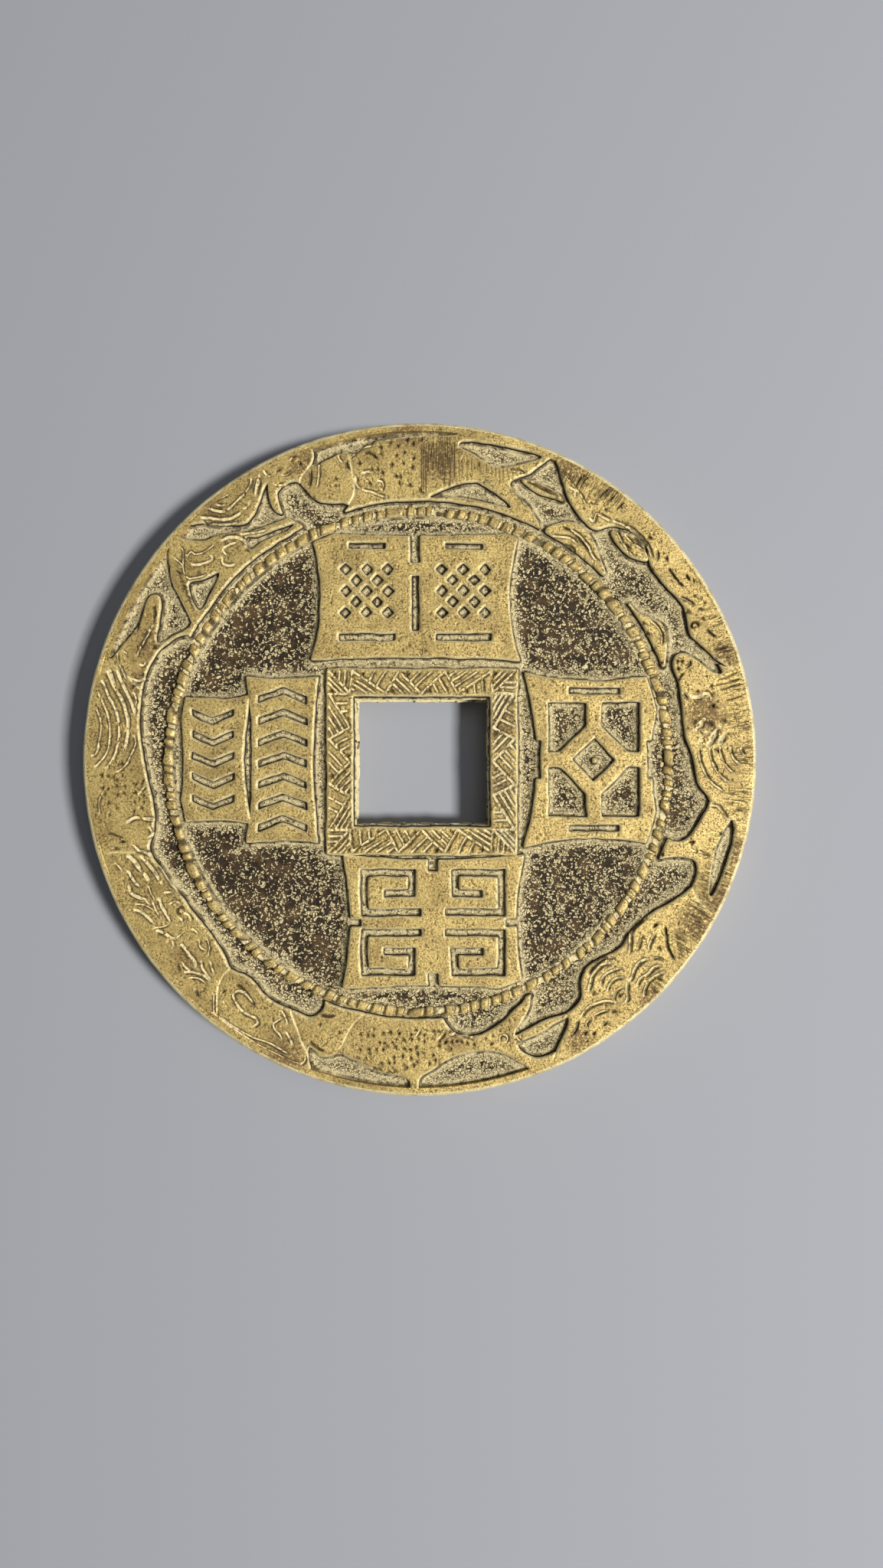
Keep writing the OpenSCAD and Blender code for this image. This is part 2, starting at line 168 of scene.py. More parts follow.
def flip(points):
    """Plan points turned over about Y."""
    return points * np.array([-1, 1])


def flat_face(node, side):
    """A node's outer flat face: its plan points, and its faces as indices into them."""
    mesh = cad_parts[node].data
    co = np.array([v.co[:] for v in mesh.vertices]) / MM
    level = co[:, 2].max() if side == FRONT else co[:, 2].min()
    keys = {}
    spot = [keys.setdefault((round(p[0], 5), round(p[1], 5)), len(keys)) for p in co]
    flat = [p for p in mesh.polygons if all(abs(co[i][2] - level) < 1e-3 for i in p.vertices)]
    return np.array(list(keys)), [[spot[i] for i in p.vertices] for p in flat]


def face_loops(node, side):
    """The closed outlines of a node's outer flat face: solid on the left of each."""
    place, faces = flat_face(node, side)
    edges = {(a, b) for ring in faces for a, b in zip(ring, ring[1:] + ring[:1])}
    border = [(a, b) for a, b in edges if (b, a) not in edges]
    starts = {a for a, _ in border} - {b for _, b in border}
    for end in sorted({b for _, b in border} - {a for a, _ in border}):
        border.append((end, min(starts, key=lambda a: np.linalg.norm(place[a] - place[end]))))
    after = {}
    for a, b in sorted(border):
        after.setdefault(a, []).append(b)
    loops = []
    while after:
        at = min(after)
        loop = []
        while at in after:
            loop.append(at)
            ahead = after[at].pop()
            if not after[at]:
                del after[at]
            at = ahead
        if len(loop) > 2:
            loops.append(place[loop] if side == FRONT else flip(place[loop]))
    return loops


def wobble(points, amount):
    """A hand-cast unevenness that neighbours share, fading out towards the edge band."""
    x, y = points[:, 0], points[:, 1]
    fade = np.clip((RIM_OUT - 0.1 - np.hypot(x, y)) / 0.6, 0, 1)[:, None]
    shift_x = noise(x, y, 1.7, 3) + 0.5 * noise(x, y, 0.7, 5)
    shift_y = noise(x, y, 1.7, 4) + 0.5 * noise(x, y, 0.7, 6)
    return points + amount * fade * np.stack([shift_x, shift_y], 1)


def soft_loops(node, side, step, corner=0.08, uneven=0.07):
    """A node's outlines with rounded corners and a hand-cast unevenness."""
    loops = []
    for loop in face_loops(node, side):
        dense = resample(loop, step / 3, closed=True)
        loops.append(resample(wobble(around(dense, corner, step / 3), uneven), step, closed=True))
    return loops


def corners(loop):
    """The four corners of a loop's box, anticlockwise from the lower left."""
    low, high = loop.min(0), loop.max(0)
    return np.array([low, [high[0], low[1]], high, [low[0], high[1]]])


# ---------------------------------------------------------------- distances

def nearest(points, targets):
    """(distance, index) of the nearest target for every point."""
    tree = KDTree(len(targets))
    for i, p in enumerate(targets):
        tree.insert((p[0], p[1], 0), i)
    tree.balance()
    found = [tree.find((p[0], p[1], 0)) for p in points]
    return np.array([f[2] for f in found]), np.array([f[1] for f in found])


def outline_distance(points, loops):
    """Distance from every point to the outlines, measured to their straight pieces."""
    here = np.vstack(loops)
    _, i = nearest(points, here)
    best = np.full(len(points), np.inf)
    for turn in (-1, 1):
        a, b = here[i], np.vstack([np.roll(loop, turn, axis=0) for loop in loops])[i]
        along = b - a
        t = np.clip(((points - a) * along).sum(1) / np.maximum((along ** 2).sum(1), 1e-12), 0, 1)
        best = np.minimum(best, np.linalg.norm(points - a - along * t[:, None], axis=1))
    return best


def hex_points(low, high, step):
    """A hexagonal lattice over a box, slightly shaken."""
    rows = np.arange(low[1], high[1], step * math.sqrt(3) / 2)
    cols = np.arange(low[0], high[0] + step, step)
    x, y = np.meshgrid(cols, rows)
    x = x + (np.arange(len(rows)) % 2)[:, None] * step / 2
    points = np.stack([x.ravel(), y.ravel()], 1)
    cell_x, cell_y = np.round(points / step * 2).T
    shake = np.stack([lattice_value(cell_x, cell_y, seed) for seed in (8, 9)], 1)
    return points + shake * step * 0.12


def inset_rows(loops, offsets):
    """Points at set distances inside the outlines."""
    rows, wanted = [], []
    for loop in loops:
        inward = square_to(np.roll(loop, -1, axis=0) - np.roll(loop, 1, axis=0))
        for offset in offsets:
            rows.append(loop + inward * offset)
            wanted.append(np.full(len(loop), offset))
    points = np.vstack(rows)
    return points[np.abs(outline_distance(points, loops) - np.concatenate(wanted)) < 0.02]


def thin_out(points, keep, gap):
    """Drops the points that lie closer than gap to the ones to keep."""
    if not len(keep) or not len(points):
        return points
    return points[nearest(points, keep)[0] > gap]


# ---------------------------------------------------------------- solids

def inside(points, loops):
    """Which points lie inside the outlines, holes left out."""
    found = np.zeros(len(points), bool)
    x, y = points[:, 0], points[:, 1]
    for loop in loops:
        for a, b in zip(loop, np.roll(loop, -1, axis=0)):
            if a[1] != b[1]:
                crosses = (a[1] > y) != (b[1] > y)
                found ^= crosses & (x < a[0] + (y - a[1]) / (b[1] - a[1]) * (b[0] - a[0]))
    return found


def neighbour(loops, turn):
    """For every outline point, the index of the one before (1) or after (-1) it."""
    sizes = [len(loop) for loop in loops]
    starts = np.cumsum([0] + sizes[:-1])
    return np.concatenate([start + np.roll(np.arange(n), turn) for start, n in zip(starts, sizes)])


def fill(loops, inner):
    """Triangles inside the outlines: (points, triangles, where each outline point went)."""
    outline = np.vstack(loops)
    edges = [(i, int(j)) for i, j in enumerate(neighbour(loops, -1))]
    points = np.vstack([outline, inner[inside(inner, loops)]])
    result = delaunay_2d_cdt([Vector(p) for p in points], edges, [], 1, 1e-6)
    out = np.array([v[:] for v in result[0]])
    went = {old: new for new, olds in enumerate(result[3]) for old in olds}
    at = np.array([went[i] for i in range(len(outline))])
    faces = np.array(result[2])
    bridging = np.isin(faces, at).all(axis=1)
    kept = ~bridging
    kept[bridging] = inside(out[faces[bridging]].mean(axis=1), loops)
    return out, faces[kept].tolist(), at


def closed_solid(loops, top_inner, top_height, bottom_inner, bottom_height, rows):
    """A solid between two height functions, with a wall down every outline.

    rows is a list of (share of the way down, outward offset in mm). Returns points, faces and
    the share of the way down of every point.
    """
    top, top_faces, top_at = fill(loops, top_inner)
    bottom, bottom_faces, bottom_at = fill(loops, bottom_inner)
    top_z = top_height(top)
    bottom_z = bottom_height(bottom)
    outline = np.vstack(loops)
    after = neighbour(loops, -1)
    outward = -square_to(outline[after] - outline[neighbour(loops, 1)])
    points = [np.column_stack([top, top_z])]
    down = [np.zeros(len(top))]
    rings = [top_at]
    count = len(top)
    for share, offset in rows:
        z = top_z[top_at] * (1 - share) + bottom_z[bottom_at] * share
        rough = 1 + 0.4 * noise(outline[:, 0] * 2, outline[:, 1] * 2 + z * 2, 0.7, 31)
        points.append(np.column_stack([outline + outward * (offset * rough)[:, None], z]))
        down.append(np.full(len(outline), share))
        rings.append(np.arange(count, count + len(outline)))
        count += len(outline)
    bottom = bottom.copy()
    bottom[bottom_at] += outward * rows[-1][1]
    points.append(np.column_stack([bottom, bottom_z]))
    down.append(np.ones(len(bottom)))
    rings.append(bottom_at + count)
    faces = list(top_faces) + [[count + i for i in reversed(f)] for f in bottom_faces]
    for upper, lower in zip(rings, rings[1:]):
        for i, j in enumerate(after):
            faces.append([lower[i], lower[j], upper[j], upper[i]])
    return np.vstack(points), faces, np.concatenate(down)


def to_side(points, side):
    """From front coordinates to the side the piece is on."""
    return points if side == FRONT else points * np.array([-1, 1, -1]) + np.array([0, 0, COIN_T])


def add_piece(name, points, faces, masks, material, node):
    """Makes the mesh that stands for a CAD node, with one value a point for each mask."""
    mesh = bpy.data.meshes.new(name)
    mesh.from_pydata((points * MM).tolist(), [], [[int(i) for i in f] for f in faces])
    mesh.validate()
    for mask, values in masks.items():
        layer = mesh.attributes.new(mask, "FLOAT", "POINT")
        layer.data.foreach_set("value", np.asarray(values, np.float32))
    mesh.shade_smooth()
    mesh.set_sharp_from_angle(angle=math.radians(50))
    mesh.materials.append(material)
    piece = bpy.data.objects.new(name, mesh)
    bpy.context.scene.collection.objects.link(piece)
    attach(piece, "root")
    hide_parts(node)


# ---------------------------------------------------------------- engraving tools

def stroke(points, width, depth=None):
    """An engraved line through [X, Y] points: its points, width and depth."""
    line = resample(wobble(curve(points), 0.05), 0.06)
    return line, width, depth or min(0.08 + 0.5 * width, 0.22)


def engrave(*lines):
    """Engraved lines, each given as its width and then X, Y for every point that it passes through."""
    return [stroke(np.reshape(places, (-1, 2)), width) for width, *places in lines]


def arcs(centre, radii, start, end, width):
    """Concentric arcs, from start to end in degrees."""
    ring = np.array([heading(turn) for turn in np.linspace(start, end, 9)])
    return [stroke(centre + ring * radius, width) for radius in radii]


def chance(i, j, seed):
    """A repeatable number from -1 to 1."""
    return float(lattice_value(np.array(float(i)), np.array(float(j)), seed))


def heading(degrees):
    """A unit vector, turned from +X."""
    return np.array([math.cos(math.radians(degrees)), math.sin(math.radians(degrees))])


def ticks(start, step, count, length, tilt, width, depth, seed=90):
    """A row of fine parallel marks of uneven length."""
    start, step = np.asarray(start, float), np.asarray(step, float)
    way = heading(tilt)
    marks = []
    for k in range(count):
        at = start + step * (k + 0.25 * chance(k, 0, seed))
        reach = length * (0.75 + 0.35 * chance(k, 1, seed))
        marks.append(stroke([at, at + way * reach], width, depth))
    return marks


def rim_ticks(start, end, pitch, inner, outer, seed):
    """Fine file marks square to the edge, from start to end in degrees."""
    marks = []
    for k in range(int((end - start) / pitch)):
        way = heading(start + pitch * (k + 0.3 * chance(k, 2, seed)))
        near = outer - (outer - inner) * (0.6 + 0.4 * chance(k, 3, seed))
        marks.append(stroke([way * near, way * outer], 0.13, 0.05 + 0.02 * chance(k, 4, seed)))
    return marks


def scale_marks(low, high, pitch, seed):
    """Rows of short comma marks between two corners, some of them worn away."""
    marks = []
    for row in range(int((high[1] - low[1]) / pitch) + 1):
        for column in range(int((high[0] - low[0]) / pitch) + 1):
            x = low[0] + pitch * (column + 0.38 * chance(row, column, seed) + 0.3 * (row % 2))
            y = low[1] + pitch * (row + 0.38 * chance(row, column, seed + 1))
            lean = 0.14 * chance(row, column, seed + 5)
            size = pitch * (0.21 + 0.08 * chance(row, column, seed + 2))
            width = 0.2 + 0.06 * pitch + 0.05 * chance(row, column, seed + 3)
            if chance(row, column, seed + 4) > -0.6:
                bend = [[x - 0.08 + lean, y + size], [x + 0.05, y], [x + 0.02 - lean, y - size]]
                marks.append(stroke(bend, width, 0.18))
    return marks


def nicks():
    """Short dark nicks scattered over the raised faces."""
    seed, pitch = 95, 0.85
    marks = []
    reach = int(RIM_OUT / pitch)
    for row in range(-reach, reach + 1):
        for column in range(-reach, reach + 1):
            x = pitch * (column + 0.45 * chance(row, column, seed))
            y = pitch * (row + 0.45 * chance(row, column, seed + 1))
            if math.hypot(x, y) < RIM_OUT - 0.2 and chance(row, column, seed + 2) > 0.1:
                way = heading(105 + 50 * chance(row, column, seed + 3))
                way *= 0.12 + 0.1 * chance(row, column, seed + 4)
                width = 0.13 + 0.04 * chance(row, column, seed + 5)
                marks.append(stroke([[x, y] - way, [x, y] + way], width, 0.1))
    return marks


# ---------------------------------------------------------------- engraving on the front

def fish_top_marks():
    """Mouth, gill, eye dash, commas on the scales and the filed patch behind them."""
    filed = ticks([0.15, 28.3], [0.21, 0], 15, 4.6, -91, 0.13, 0.07)
    brushed = ticks([3.4, 26.8], [0.4, -0.06], 14, 2.0, -90, 0.11, 0.04)
    return filed + brushed + scale_marks([-4.4, 24.3], [-0.4, 28.2], 0.9, 101) + engrave(
        (0.22, -9.7, 25.7, -9.6, 25, -9.8, 24.2), (0.26, -8.9, 26.3, -8.9, 25.4, -9.1, 24.2),
        (0.18, -7.5, 25.2, -7.3, 24.7), (0.16, -7.7, 24.3, -7.3, 24.4),
        (0.2, -6.5, 26.6, -6.4, 26.1, -6.1, 25.7), (0.26, -7.2, 27.1, -7.1, 26.7, -6.7, 26.3),
        (0.24, -6.2, 26.8, -5.5, 27.3, -4.8, 27.7, -4, 27.9), (0.2, -5, 27, -4.4, 27.2, -3.7, 26.6),
        (0.26, -5.4, 26.5, -5.3, 26.1), (0.4, -5.7, 25.1, -5.5, 24.4, -5.2, 24.1),
        (0.28, -5.1, 24, -4.3, 23.8, -3.6, 23.5, -3, 23.3), (0.36, -5, 25.4, -4.5, 25.6, -4.1, 25.5),
        (0.26, -3.7, 24.8, -3.3, 24.7, -3.2, 24.3, -3.4, 23.9), (0.22, 0, 24.4, 0.1, 23.9, 0.5, 23.6),
        (0.22, -1.1, 28.7, -1.1, 28.1), (0.22, 0.1, 28.7, 0.2, 28.1),
        (0.22, 7.9, 25.7, 8.7, 25.7, 9.4, 25.4), (0.2, 5.3, 26.5, 5.2, 26),
        (0.3, 8.1, 24.2, 8.9, 23.4, 9.7, 22.4),
    )


def band_marks():
    """File marks at the outer edge, a long slanting cut and short dashes down the band."""
    return rim_ticks(54, 66, 0.5, 27.2, 29, 111) + engrave(
        (0.2, 14.9, 25.5, 14.1, 24.7, 13.9, 24.1), (0.16, 15.1, 25.3, 14.5, 24.6, 14.2, 24),
        (0.2, 17, 24.3, 16.4, 23.8, 15.9, 23.2), (0.16, 17.3, 23.4, 16.6, 22.9),
        (0.16, 18.2, 22.9, 17.4, 22.2), (0.26, 13, 25.1, 13.6, 24.5, 14.1, 23.9, 14.5, 23.3, 14.8, 22.7),
        (0.3, 13.3, 24.2, 13.9, 23.9, 13.8, 23.3),
        (0.3, 15.1, 21.4, 15.5, 21.2, 15.8, 21.9, 16.3, 21.6, 17, 21.2),
        (0.28, 17.2, 21.2, 18.2, 20.9, 19.2, 20.3, 19.9, 19.6, 20.4, 18.8, 20.7, 17.9),
        (0.2, 16.4, 22.3, 16.7, 22.1), (0.2, 20.3, 20, 20.5, 19.7, 20.8, 19.6),
        (0.22, 21.1, 18.6, 21.2, 18, 21, 17.6), (0.22, 21.9, 18.1, 22, 17.5),
        (0.2, 22.1, 17, 22.8, 16, 23.4, 15.3), (0.2, 23.6, 16.5, 24, 15.8), (0.16, 24.4, 16.4, 24.3, 15.6),
        (0.2, 24.2, 14.6, 24.6, 14.4), (0.22, 23.1, 14.4, 23.8, 14.1, 24.4, 13.7),
        (0.2, 24.7, 13.4, 25.2, 13.3), (0.2, 25, 12.6, 25.3, 12.3), (0.3, 23.6, 13.3, 24, 13),
        (0.2, 25.5, 11.6, 25.8, 11.2, 26.3, 10.8), (0.16, 26.6, 12.4, 27, 11.6, 27.3, 10.9),
        (0.16, 26, 9.7, 26.8, 9.9, 27.7, 10.1),
    ) + arcs([24.4, 11.9], [0.3], -30, 250, 0.2)


def leaf_marks():
    """Veins along the two leaves."""
    return engrave(
        (0.2, 9.5, 24.7, 10.6, 24.2, 11.9, 23.5), (0.16, 10.1, 24.6, 11.3, 24, 12.3, 23.3),
        (0.24, 17.5, 20.6, 17.9, 19.6, 18.4, 18.7, 19, 18.1),
        (0.24, 18.3, 20, 18.9, 19.3, 19.5, 18.9, 20.1, 18.5), (0.2, 18.1, 19.3, 18.8, 18.6),
        (0.2, 19, 19.8, 19.9, 19),
    )


def lobe_marks():
    """Arcs of the shell lobe and of the bulge below it."""
    return engrave(
        (0.26, 13.4, 20.4, 14.2, 19.9, 14.9, 19.1, 15.4, 18.1, 16, 17.5),
        (0.2, 12.7, 20.7, 13.8, 20, 14.8, 18.8, 15.5, 17.7),
        (0.26, 11.8, 19.9, 12.6, 19.8, 13.4, 19.7, 14, 19.2),
        (0.22, 12.7, 19.1, 13.5, 18.9, 13.7, 18.4, 13.2, 18.2), (0.22, 14.6, 18.1, 14.5, 17.6, 14.3, 17.2),
        (0.26, 15.3, 17.4, 15.3, 16.8), (0.24, 20.4, 12.4, 21.1, 11.8, 21.5, 11, 21.5, 10.2),
        (0.18, 21.5, 12, 21.9, 11.2, 22, 10.2), (0.22, 20, 11.4, 20.5, 11), (0.22, 20.9, 10, 20.6, 9.6),
        (0.22, 19.6, 12.2, 20.1, 12), (0.22, 21.6, 8.8, 21.3, 8.5), (0.22, 17.2, 15, 17.7, 14.7),
        (0.22, 18.3, 13.6, 18.8, 13.4),
    )


def whorl_right_marks():
    """A wavy ridge, six short slanting slots and the arcs below them."""
    slots = engrave(
        (0.5, 24.1, 5.6, 24.6, 5.5, 25.1, 5.6), (0.4, 25.2, 5.8, 25.7, 5.8, 25.9, 5.4),
        (0.36, 26.1, 5, 26, 4.5), (0.62, 25.3, 3.6, 24.9, 3.1, 24.6, 2.6), (0.62, 25.9, 3.5, 25.6, 3),
        (0.7, 25.5, 2.4, 25.2, 1.9, 24.9, 1.5), (0.7, 26.6, 2.8, 26.2, 2.2, 25.8, 1.6, 25.6, 1.2),
        (0.66, 27.1, 2.2, 26.8, 1.8, 26.7, 1.4), (0.56, 27, 3.7, 26.8, 3.3), (0.46, 26.5, 1, 26.4, 0.6),
        (0.36, 24.3, 3.4, 24.5, 3.3), (0.2, 22.9, 8.9, 22.9, 8.6), (0.2, 23.3, 8.9, 23.3, 8.6),
        (0.22, 23.9, 8.9, 24, 8.5, 23.6, 8.2), (0.22, 22.9, 8.3, 23, 7.9),
        (0.18, 23.4, 7.8, 23.1, 7.3, 22.9, 6.9), (0.22, 23.4, 5.9, 23.8, 5.3),
        (0.13, 26.4, 7.1, 27.4, 7.4, 28.6, 7.9), (0.13, 26.2, 6.6, 27.5, 6.9, 28.9, 7.3),
        (0.13, 26.6, 6.2, 27.6, 6.5, 28.9, 6.9), (0.13, 27.1, 5.3, 28.1, 5.5, 29.1, 5.8),
        (0.2, 25.9, 6.8, 25.9, 6.3), (0.2, 24.6, 6.2, 24.7, 5.9),
    )
    return slots + arcs([29.4, 1.1], [0.9, 1.8, 2.7, 3.6, 4.6], 182, 238, 0.26)


def fin_right_marks():
    """The cream line along its upper edge and the file marks beside the slot."""
    marks = ticks([24.4, -9.9], [0.04, -0.3], 9, 1.7, -18, 0.12, 0.05, 132)
    marks += ticks([24.6, -12.6], [-0.05, -0.32], 8, 1.8, -20, 0.12, 0.05, 133)
    return marks + engrave(
        (0.3, 25.8, -4, 26.5, -4.2, 27, -4.8, 27.3, -5.3), (0.26, 24.2, -8.1, 24.8, -8.2, 25.3, -8.4),
        (0.2, 25, -8.4, 25.8, -8.5), (0.2, 23.8, -7.4, 24.3, -7.3, 24.1, -7.7),
        (0.22, 26.6, -6.7, 26.9, -6.4), (0.2, 21.6, -8.2, 21.5, -8.7), (0.18, 28, -4.5, 28.6, -4.5),
    )


def waves_right_marks():
    """Overlapping scale waves, each a nest of arcs."""
    return ticks([22.6, -15.4], [0.06, -0.34], 9, 1.3, -30, 0.13, 0.06, 141) + engrave(
        (0.34, 18.9, -15.2, 18.7, -16, 18.7, -16.8, 18.6, -17.2),
        (0.2, 20, -14.2, 19.3, -14.8, 18.9, -15.4), (0.3, 19.8, -15.6, 19.6, -16.3, 19.3, -16.9),
        (0.3, 20.9, -15.5, 20.5, -16.4, 20.4, -17), (0.22, 21.2, -14.5, 20.7, -14.9),
        (0.3, 21.3, -16.6, 21.3, -16.9),
        (0.2, 21.8, -14.8, 21.9, -15.7, 22, -16.5, 22.3, -17.2, 22.6, -17.8),
        (0.34, 20.3, -17.7, 19.6, -18, 19.1, -18.6, 18.9, -19.3, 18.6, -19.6),
        (0.34, 18.4, -19.8, 18.4, -20.6, 18.5, -21.2, 18.3, -21.6),
        (0.22, 20.7, -17.7, 21.2, -17.6, 21.6, -17.8),
        (0.34, 21.4, -18.3, 20.8, -18.5, 20.3, -19, 19.6, -19.5, 19.3, -20.1),
        (0.34, 21.7, -18.9, 21.1, -19.2, 20.6, -19.5, 20.2, -20, 19.9, -21), (0.2, 21, -19.3, 21.6, -19.7),
        (0.22, 17.3, -17.6, 16.4, -17.7, 15.6, -18.3, 15, -19),
        (0.34, 17.1, -18, 16.3, -18.2, 15.8, -18.7, 15.4, -19.2, 15.2, -19.9, 15, -20.6),
        (0.3, 17.9, -18.5, 17.3, -18.7, 16.7, -19, 16.3, -19.4, 16.1, -20),
        (0.3, 18.1, -19.3, 17.4, -19.5, 16.9, -20, 16.6, -20.6),
        (0.26, 18, -20.2, 17.5, -20.6, 17.3, -21.1, 17.3, -21.6), (0.3, 15.3, -20.7, 15.7, -20.8),
        (0.22, 17.6, -21.1, 17.9, -20.9),
        (0.3, 17.5, -21.6, 16.6, -21.5, 15.7, -21.7, 14.9, -22.1, 14.3, -22.8),
        (0.24, 16.7, -22.3, 16.1, -22.5, 15.5, -22.8), (0.24, 17, -22.4, 17.5, -22.4),
        (0.24, 15.2, -23.1, 14.8, -23.5, 14.9, -23.9), (0.22, 16.9, -23.3, 16.2, -23.6),
        (0.22, 14.9, -24.1, 14.6, -24.5), (0.22, 15.6, -24.1, 15.4, -24.6),
        (0.22, 14.1, -23.1, 14, -23.8, 13.6, -24.4), (0.2, 14.8, -24.9, 15, -25.2),
    )


def fish_bottom_marks():
    """Gill lines, an eye ring and commas over the body."""
    return scale_marks([-5.6, -27.6], [2.8, -24], 0.66, 151) + engrave(
        (0.26, 0.1, -24, -0.3, -24.6), (0.3, 2.2, -24.1, 2, -24.5, 1.6, -24.9),
        (0.32, 2.7, -24.5, 3.4, -24.4, 4.2, -24.6, 4.9, -24.8), (0.2, 2.8, -24.9, 2.9, -25.3),
        (0.2, 3.2, -24.9, 3.3, -25.2), (0.2, 3.6, -24.9, 3.8, -25.3), (0.2, 4.1, -25, 4.3, -25.4),
        (0.2, 4.7, -25.1, 4.9, -25.6), (0.24, 6.2, -25.3, 6.6, -25.1),
        (0.24, 8.6, -24.6, 8.9, -25, 9.3, -25.1), (0.24, -7.3, -24.3, -6.9, -24.2),
        (0.2, -9.8, -25, -9.1, -25.6, -8.4, -26), (0.22, -8.8, -23.3, -8.9, -23.7),
        (0.2, -8.8, -22.7, -8.1, -22.8, -7.4, -22.7),
    ) + arcs([7.5, -24.8], [0.36], -60, 220, 0.24)


def lobe_lower_marks():
    """A hairpin line in the lobe, a double line along the edge and two hooks at the right."""
    return engrave(
        (0.3, -14.6, -21.9, -15.1, -21.2, -15.7, -20.7, -16.2, -20.6, -16.6, -21, -16.3, -21.7,
         -15.8, -22.3, -15.1, -22.7, -14.6, -23, -14.4, -23.4, -14.8, -23.7),
        (0.2, -16.3, -19.9, -15.7, -20.4, -15, -21.3, -14.5, -22.1),
        (0.24, -18.3, -20.8, -18.3, -21.8, -18.2, -22.6, -17.3, -23.2, -16.4, -23.8, -15.6, -24.3,
         -14.6, -24.8, -13.4, -25.2, -12.5, -25.7, -11.7, -26.1),
        (0.34, -18.8, -22.4, -18, -22.9, -17, -23.6, -16, -24.3, -15, -25, -13.8, -25.7, -12.6, -26.3,
         -11.4, -26.9, -10.6, -27.1), (0.22, -16, -25.1, -14.8, -25.8, -13.6, -26.4, -12.6, -26.8),
        (0.26, -10.6, -27.1, -10.2, -26.8, -10.1, -26.3),
        (0.26, -12.2, -23, -12.7, -23.3, -13, -23.6, -12.8, -24.1, -12.4, -24.5, -12.2, -24.8),
        (0.26, -12.3, -22.3, -11.9, -22.9, -11.7, -23.5), (0.3, -11.8, -24.2, -11.5, -24.8, -11.3, -25.3),
        (0.2, -17.2, -20.4, -17.6, -20.7),
    )


def waves_left_marks():
    """Uneven wave slots that follow the rim."""
    return engrave(
        (0.4, -26, -5.6, -25.3, -5.2, -24.6, -5.3, -24, -5.3, -23.5, -5.4),
        (0.3, -23.9, -6, -23.7, -6.6, -24.1, -7), (0.18, -27.7, -6.5, -27, -6.8, -26.3, -7),
        (0.2, -26.8, -7.3, -26, -7.3), (0.24, -27.3, -7.9, -26.7, -8),
        (0.36, -25.4, -7.6, -24.9, -8.1, -24.2, -8.3, -23.8, -8.6),
        (0.6, -23.3, -8.2, -22.9, -8.7, -22.7, -9.1),
        (0.5, -25.9, -8.5, -25.3, -9.1, -24.9, -9.7, -24.4, -10.3, -24, -10.9),
        (0.44, -24.7, -8.6, -24.2, -9.2, -23.7, -9.8, -23.2, -10.5, -22.8, -11.1),
        (0.3, -23.2, -9.3, -22.8, -9.9, -22.3, -10.6, -21.9, -11.2, -21.4, -11.8),
        (0.28, -27, -9.2, -26.4, -9.9), (0.36, -25.9, -9.9, -25.6, -10.5, -25.2, -11, -24.8, -11.3),
        (0.42, -25.9, -11.2, -25.7, -11.8, -25.1, -12.2, -24.4, -12.5, -23.9, -12.9),
        (0.24, -24.1, -11.3, -23.8, -12, -23.5, -12.5), (0.24, -25.2, -12.8, -24.3, -13, -23.6, -13.4),
        (0.36, -25.3, -13.3, -24.6, -13.6, -24, -14.1, -23.5, -14.6),
        (0.42, -23.1, -12.3, -22.9, -13, -22.5, -13.7, -22.1, -14.5),
        (0.26, -23.7, -12.7, -23.4, -13.4, -22.9, -14.2), (0.28, -22.6, -11.8, -21.9, -11.8),
        (0.3, -22.2, -12.8, -21.7, -12.6, -21.2, -12.8), (0.34, -20.8, -13.6, -20.4, -14, -20.2, -14.4),
        (0.3, -21.3, -14, -20.9, -14.6), (0.24, -23.5, -15, -22.8, -14.9, -22.3, -14.7),
        (0.4, -23.3, -15.2, -22.7, -15.5, -22.1, -15.9, -21.6, -15.9),
        (0.3, -22.4, -16.2, -22, -16.1, -21.8, -16.6), (0.24, -21.5, -15.8, -20.9, -15.3),
        (0.4, -21.2, -16.4, -20.8, -16.9, -20.4, -17.5, -20, -18, -19.9, -18.5),
        (0.3, -21.1, -18.1, -20.6, -18.7, -20.2, -18.5),
        (0.34, -19.4, -17.9, -19.3, -18.5, -18.9, -19.1, -18.5, -19.6),
        (0.3, -18.6, -17.9, -18.4, -18.6, -18.2, -19),
        (0.3, -20.9, -18.9, -19.9, -19, -19.2, -19.2, -18.6, -19.7),
        (0.24, -20.4, -19.4, -19.6, -19.5, -19, -19.9), (0.28, -19.6, -16, -19.5, -16.7, -19, -17),
        (0.24, -18.9, -15.9, -18.7, -16.7, -18.8, -17.4), (0.26, -20.1, -15, -19.6, -15.5),
        (0.2, -19.9, -20.4, -19.6, -21.2), (0.18, -21.6, -18.2, -21.2, -18.9),
    ) + arcs([-21.2, -13.4], [0.3], 0, 300, 0.2)


